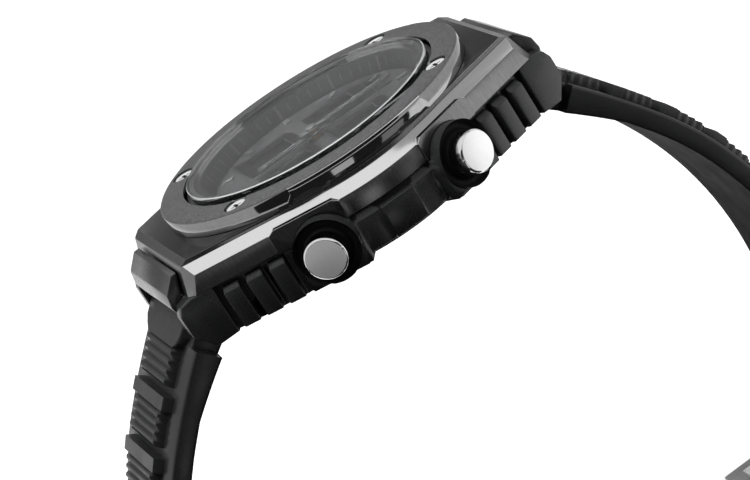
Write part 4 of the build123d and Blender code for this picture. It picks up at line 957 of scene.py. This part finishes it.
def along(path, length):
    # point and heading of the strap's middle after a length
    _, y, z = joints["strap_12_hinge"]["pos_m"]
    heading, turns = math.radians(path[0]), path[1]
    for radius, turn in turns:
        step = min(math.radians(turn), max(length, 0) / radius)
        y += radius * (math.sin(heading + step) - math.sin(heading))
        z += radius * (math.cos(heading + step) - math.cos(heading))
        heading += step
        length -= radius * step
    return y + length * math.cos(heading), z - length * math.sin(heading), heading


def shade(value, low, high):
    # 0 at low, 1 at high, straight between
    return min(1, max(0, (value - low) / (high - low)))


def eyeTurns():
    # even steps round a quarter of the eye at either end
    return [math.pi / 2 * share / strap["hubSteps"] for share in range(strap["hubSteps"] + 1)]


# A row is a station along the strap: its place, the half width of its raised band and its rise.
# A rise of None stands for the round eye at either end.
def rootRows():
    plate, band = strap["plateHalfWidth"], strap["bandHalfWidth"]
    root, slit = strap["rootLength"], strap["slit"]
    rows = [(-strap["hub"] * math.cos(turn), plate, None) for turn in eyeTurns()]
    bandFrom = strap["bandStart"] - slit
    for s in (*strap["plateRows"], strap["plateEnd"], root - slit, root + slit, bandFrom):
        narrow = shade(s, strap["plateEnd"], bandFrom)
        rows.append((s, plate + (band - plate) * narrow, strap["rise"]))
    return rows


def grooveRows(start):
    # down into a cross groove, along its floor, up and over the bar behind it
    band, bar, rise, slit = strap["bandHalfWidth"], strap["barHalfWidth"], strap["rise"], strap["slit"]
    floor, brink = strap["grooveFloor"] - strap["terrace"], rise - strap["ribDepth"] / 2
    barStart = start + strap["grooveWidth"]
    barEnd = barStart + strap["barLength"]
    return [
        (start - slit, band, brink),
        (start + slit, band, floor),
        (barStart - slit, bar, floor),
        (barStart + slit, bar, rise),
        (barEnd - strap["barBevel"], bar, rise),
        (barEnd - slit, band, brink),
    ]


def ribbedRows(grooves, ribbedTo):
    # groups of fine ribs, with a groove and a bar between them
    starts, ends = [strap["bandStart"]], []
    for groove in range(grooves):
        middle = strap["grooveFirst"] + groove * strap["groovePitch"]
        ends.append(middle - strap["grooveWidth"] / 2)
        starts.append(middle + strap["grooveWidth"] / 2 + strap["barLength"])
    ends.append(ribbedTo)
    rows = []
    for index, (start, end) in enumerate(zip(starts, ends)):
        count = max(1, round((end - start) / strap["ribPitch"]))
        pitch = (end - start) / count
        for rib in range(count):
            foot = start + rib * pitch
            for share, drop in strap["ribShape"]:
                rise = strap["rise"] - drop * strap["ribDepth"]
                rows.append((foot + share * pitch, strap["bandHalfWidth"], rise))
        if index < grooves:
            rows += grooveRows(end)
    return rows


def plainRows(start, end, holes):
    # even steps between the places that need a row
    steps, slot = strap["slotSteps"], strap["slotHalfWidth"]
    needed = sorted(
        [start + strap["slit"], start + strap["plainLead"]]
        + [hole + share * slot / steps for hole in holes for share in range(-steps, steps + 1)]
    )
    rows = []
    for first, second in zip(needed, needed[1:] + [end]):
        count = max(1, round((second - first) / strap["plainPitch"]))
        for step in range(count):
            rows.append((first + (second - first) * step / count, strap["bandHalfWidth"], strap["rise"]))
    return rows


def endRows(length, tail):
    # the rounded tip of the long half, or the eye for the buckle's pin
    band, rise = strap["bandHalfWidth"], strap["rise"]
    if tail:
        steps = strap["cornerSteps"]
        rows = [(length - strap["corner"] * (1 - share / steps), band, rise) for share in range(steps)]
        return rows + [(length, band, rise * strap["tipRise"])]
    flat = [(length - back, band, rise * strap["buckleRise"]) for back in strap["buckleRows"]]
    return flat + [(length + strap["endHub"] * math.sin(turn), band, None) for turn in eyeTurns()]


def strapWidth(s, path, length, tail):
    # narrow between the horns, full beside them, then tapering to the end
    if s < strap["rootLength"]:
        return strap["rootHalfWidth"]
    narrow = shade(-along(path, s)[1], *strap["taper"])
    width = strap["halfWidth"] + (strap["endHalfWidth"] - strap["halfWidth"]) * narrow
    if tail and s > length - strap["corner"]:
        share = shade(s, length - strap["corner"], length)
        width -= strap["corner"] * (1 - math.sqrt(max(0, 1 - share * share))) * strap["cornerDepth"]
    return width


def sectionPoints(width, band, rise, top, step):
    # the upper line of the cross section, from one edge to the other
    slot, steps = strap["slotHalfWidth"], strap["slotSteps"]
    flank, full = top - step, rise + step
    edge = strapEdge["round"] if top > strapEdge["thinnest"] else top / 2
    points = [
        (width, flank - edge),
        (width - strapEdge["near"], flank - edge * strapEdge["nearDrop"]),
        (width - strapEdge["far"], flank),
        (band + strapEdge["foot"], flank),
        (band + strapEdge["toe"], flank + strapEdge["toeLift"] * full),
        (band - strapEdge["shoulder"], top + rise - strapEdge["shoulderDrop"] * full),
        (band - strapEdge["crown"], top + rise),
        (band * strapEdge["crownInner"], top + rise),
        (slot + (band - slot) * strapEdge["crownInmost"], top + rise),
    ]
    points += [(slot * share / steps, top + rise) for share in range(steps, -1, -1)]
    return [(-x, z) for x, z in points[:-1]] + list(reversed(points))


def makeSheet(rows, path, length, tail):
    # the flat upper face, and for each of its points the height of the face below
    half = strap["thickness"] / 2
    sections = []
    for s, band, rise in rows:
        width = strapWidth(s, path, length, tail)
        band = min(band, width - strap["bandInset"])
        top, step = half, strap["terrace"]
        low = -half - strap["heelDepth"] * (1 - shade(s, strap["heelStart"], strap["heelEnd"]))
        if rise is None:
            hub, centre = (strap["hub"], 0) if s < length / 2 else (strap["endHub"], length)
            top = math.sqrt(max(0, hub ** 2 - (s - centre) ** 2))
            low, rise, step = -top, 0, 0
        sections.append((s, low, sectionPoints(width, band, rise, top, step)))
    columnCount = len(sections[0][2])
    bm = bmesh.new()
    bmesh.ops.create_grid(bm, x_segments=columnCount - 1, y_segments=len(sections) - 1, size=1)
    ordered = iter(sorted(bm.verts, key=lambda v: (round(v.co.y, 6), v.co.x)))
    bottoms = {}
    for s, low, points in sections:
        for column, (x, z) in enumerate(points):
            vert = next(ordered)
            vert.co = (x, s, z)
            outer = column in (0, columnCount - 1) and low < -strapEdge["undersideFrom"]
            bottoms[vert] = low + (strapEdge["underside"] if outer else 0)
    return bm, bottoms


def cutHole(bm, bottoms, hole):
    # a square of faces goes, a circle takes its place
    slot = strap["slotHalfWidth"]
    middles = [(face, face.calc_center_median()) for face in bm.faces]
    inside = [face for face, middle in middles if abs(middle.x) < slot and abs(middle.y - hole) < slot]
    height = sum(vert.co.z for vert in inside[0].verts) / 4
    rim = [
        edge for edge in {edge for face in inside for edge in face.edges}
        if sum(face in inside for face in edge.link_faces) == 1
    ]
    bmesh.ops.delete(bm, geom=inside, context="FACES")
    ring = bmesh.ops.create_circle(bm, segments=len(rim), radius=strap["holeRadius"])["verts"]
    bmesh.ops.translate(bm, verts=ring, vec=(0, hole, height))
    for vert in ring:
        bottoms[vert] = -strap["thickness"] / 2
    circle = list({edge for vert in ring for edge in vert.link_edges})
    bmesh.ops.bridge_loops(bm, edges=rim + circle)


def cutSlot(bm, length):
    # room for the buckle's tongue
    middles = [(face, face.calc_center_median()) for face in bm.faces]
    opening = [
        face for face, middle in middles
        if abs(middle.x) < strap["slotHalfWidth"] and middle.y > length - strap["slotLength"]
    ]
    bmesh.ops.delete(bm, geom=opening, context="FACES")


def thicken(bm, bottoms):
    # the face below gets the lining's finish
    lowAt = {(round(vert.co.x, 7), round(vert.co.y, 7)): bottoms[vert] for vert in bm.verts}
    extruded = bmesh.ops.extrude_face_region(bm, geom=list(bm.faces), use_keep_orig=True)["geom"]
    for item in extruded:
        if isinstance(item, bmesh.types.BMVert):
            item.co.z = lowAt[(round(item.co.x, 7), round(item.co.y, 7))]
        elif isinstance(item, bmesh.types.BMFace):
            item.material_index = 1


def bend(bm, path):
    for vert in bm.verts:
        x, s, rise = vert.co
        y, z, heading = along(path, s)
        vert.co = (x, y + rise * math.sin(heading), z + rise * math.cos(heading))


def makeStrap(name, path, length, grooves, ribbedTo, holes, tail):
    plainEnd = length - (strap["corner"] if tail else strap["buckleRows"][0])
    rows = rootRows() + ribbedRows(grooves, ribbedTo) + plainRows(ribbedTo, plainEnd, holes)
    bm, bottoms = makeSheet(rows + endRows(length, tail), path, length, tail)
    for hole in holes:
        cutHole(bm, bottoms, hole)
    if not tail:
        cutSlot(bm, length)
    thicken(bm, bottoms)
    bend(bm, path)
    if tail:
        bmesh.ops.scale(bm, verts=bm.verts, vec=(1, -1, 1))
    addPiece(name + "_skin", bm, ["strapResin", "strapLining"], name, [name], strap["smooth"])


def makeShortHalf():
    radius, length = strap["lower"], strap["shortLength"]
    upperLength = strap["upper"][0] * math.radians(strap["upper"][1])
    turn = math.degrees((length - upperLength) / radius)
    path = (strap["shortHeading"], [strap["upper"], (radius, turn)])
    makeStrap("strap_12", path, length, strap["shortGrooves"], strap["shortRibbedTo"], [], False)


def makeLongHalf():
    # down the side, then round to lie on the floor
    upper, lower, heading = strap["upper"], strap["lower"], strap["longHeading"]
    sideTurn = 90 - heading - upper[1]
    sideLength = upper[0] * math.radians(upper[1]) + lower * math.radians(sideTurn)
    sideZ = along((heading, [upper, (lower, sideTurn)]), sideLength)[1]
    tailRadius = sideZ - cadBounds[0][2] - strap["thickness"] / 2 - strap["rise"]
    path = (heading, [upper, (lower, sideTurn), (tailRadius, 90)])
    length = sideLength + tailRadius * math.pi / 2 + strap["tail"]
    holes = [strap["holeFirst"] + strap["holePitch"] * number for number in range(strap["holes"])]
    makeStrap("strap_6", path, length, strap["longGrooves"], strap["longRibbedTo"], holes, True)


makeShortHalf()
makeLongHalf()
dress("keeper_loop", strap["keeperBevel"], "strapResin", segments=3)
dress("buckle_frame", strap["frameBevel"], "brushed", segments=3)
dress("buckle_tongue", strap["tongueBevel"], "polished")
print("strap made")

# The nodes that stay, in their own finishes
kept = {
    "polished": ("buckle_pin", "spring_bar_12", "spring_bar_6", "frame_screws"),
    "rubber": ("case_back_gasket", "crystal_gasket", "pusher_seals", "zebra_connector"),
    "plastic": ("module_frame", "driver_chip"),
    "board": ("circuit_board",),
    "satin": ("quartz_resonator", "battery", "motor_stator", "motor_rotor"),
    "print": ("dial_lamp",),
    "brass": (
        "buzzer", "buzzer_contact", "intermediate_wheel", "centre_wheel", "minute_wheel", "hour_wheel",
    ),
    "brushed": ("battery_clamp",),
    "copper": ("motor_coil",),
    "display": ("lcd_panel",),
}
for look, names in kept.items():
    for name in names:
        for slot in nodes[name].material_slots:
            slot.material = finish(look)
print("inner pieces finished")
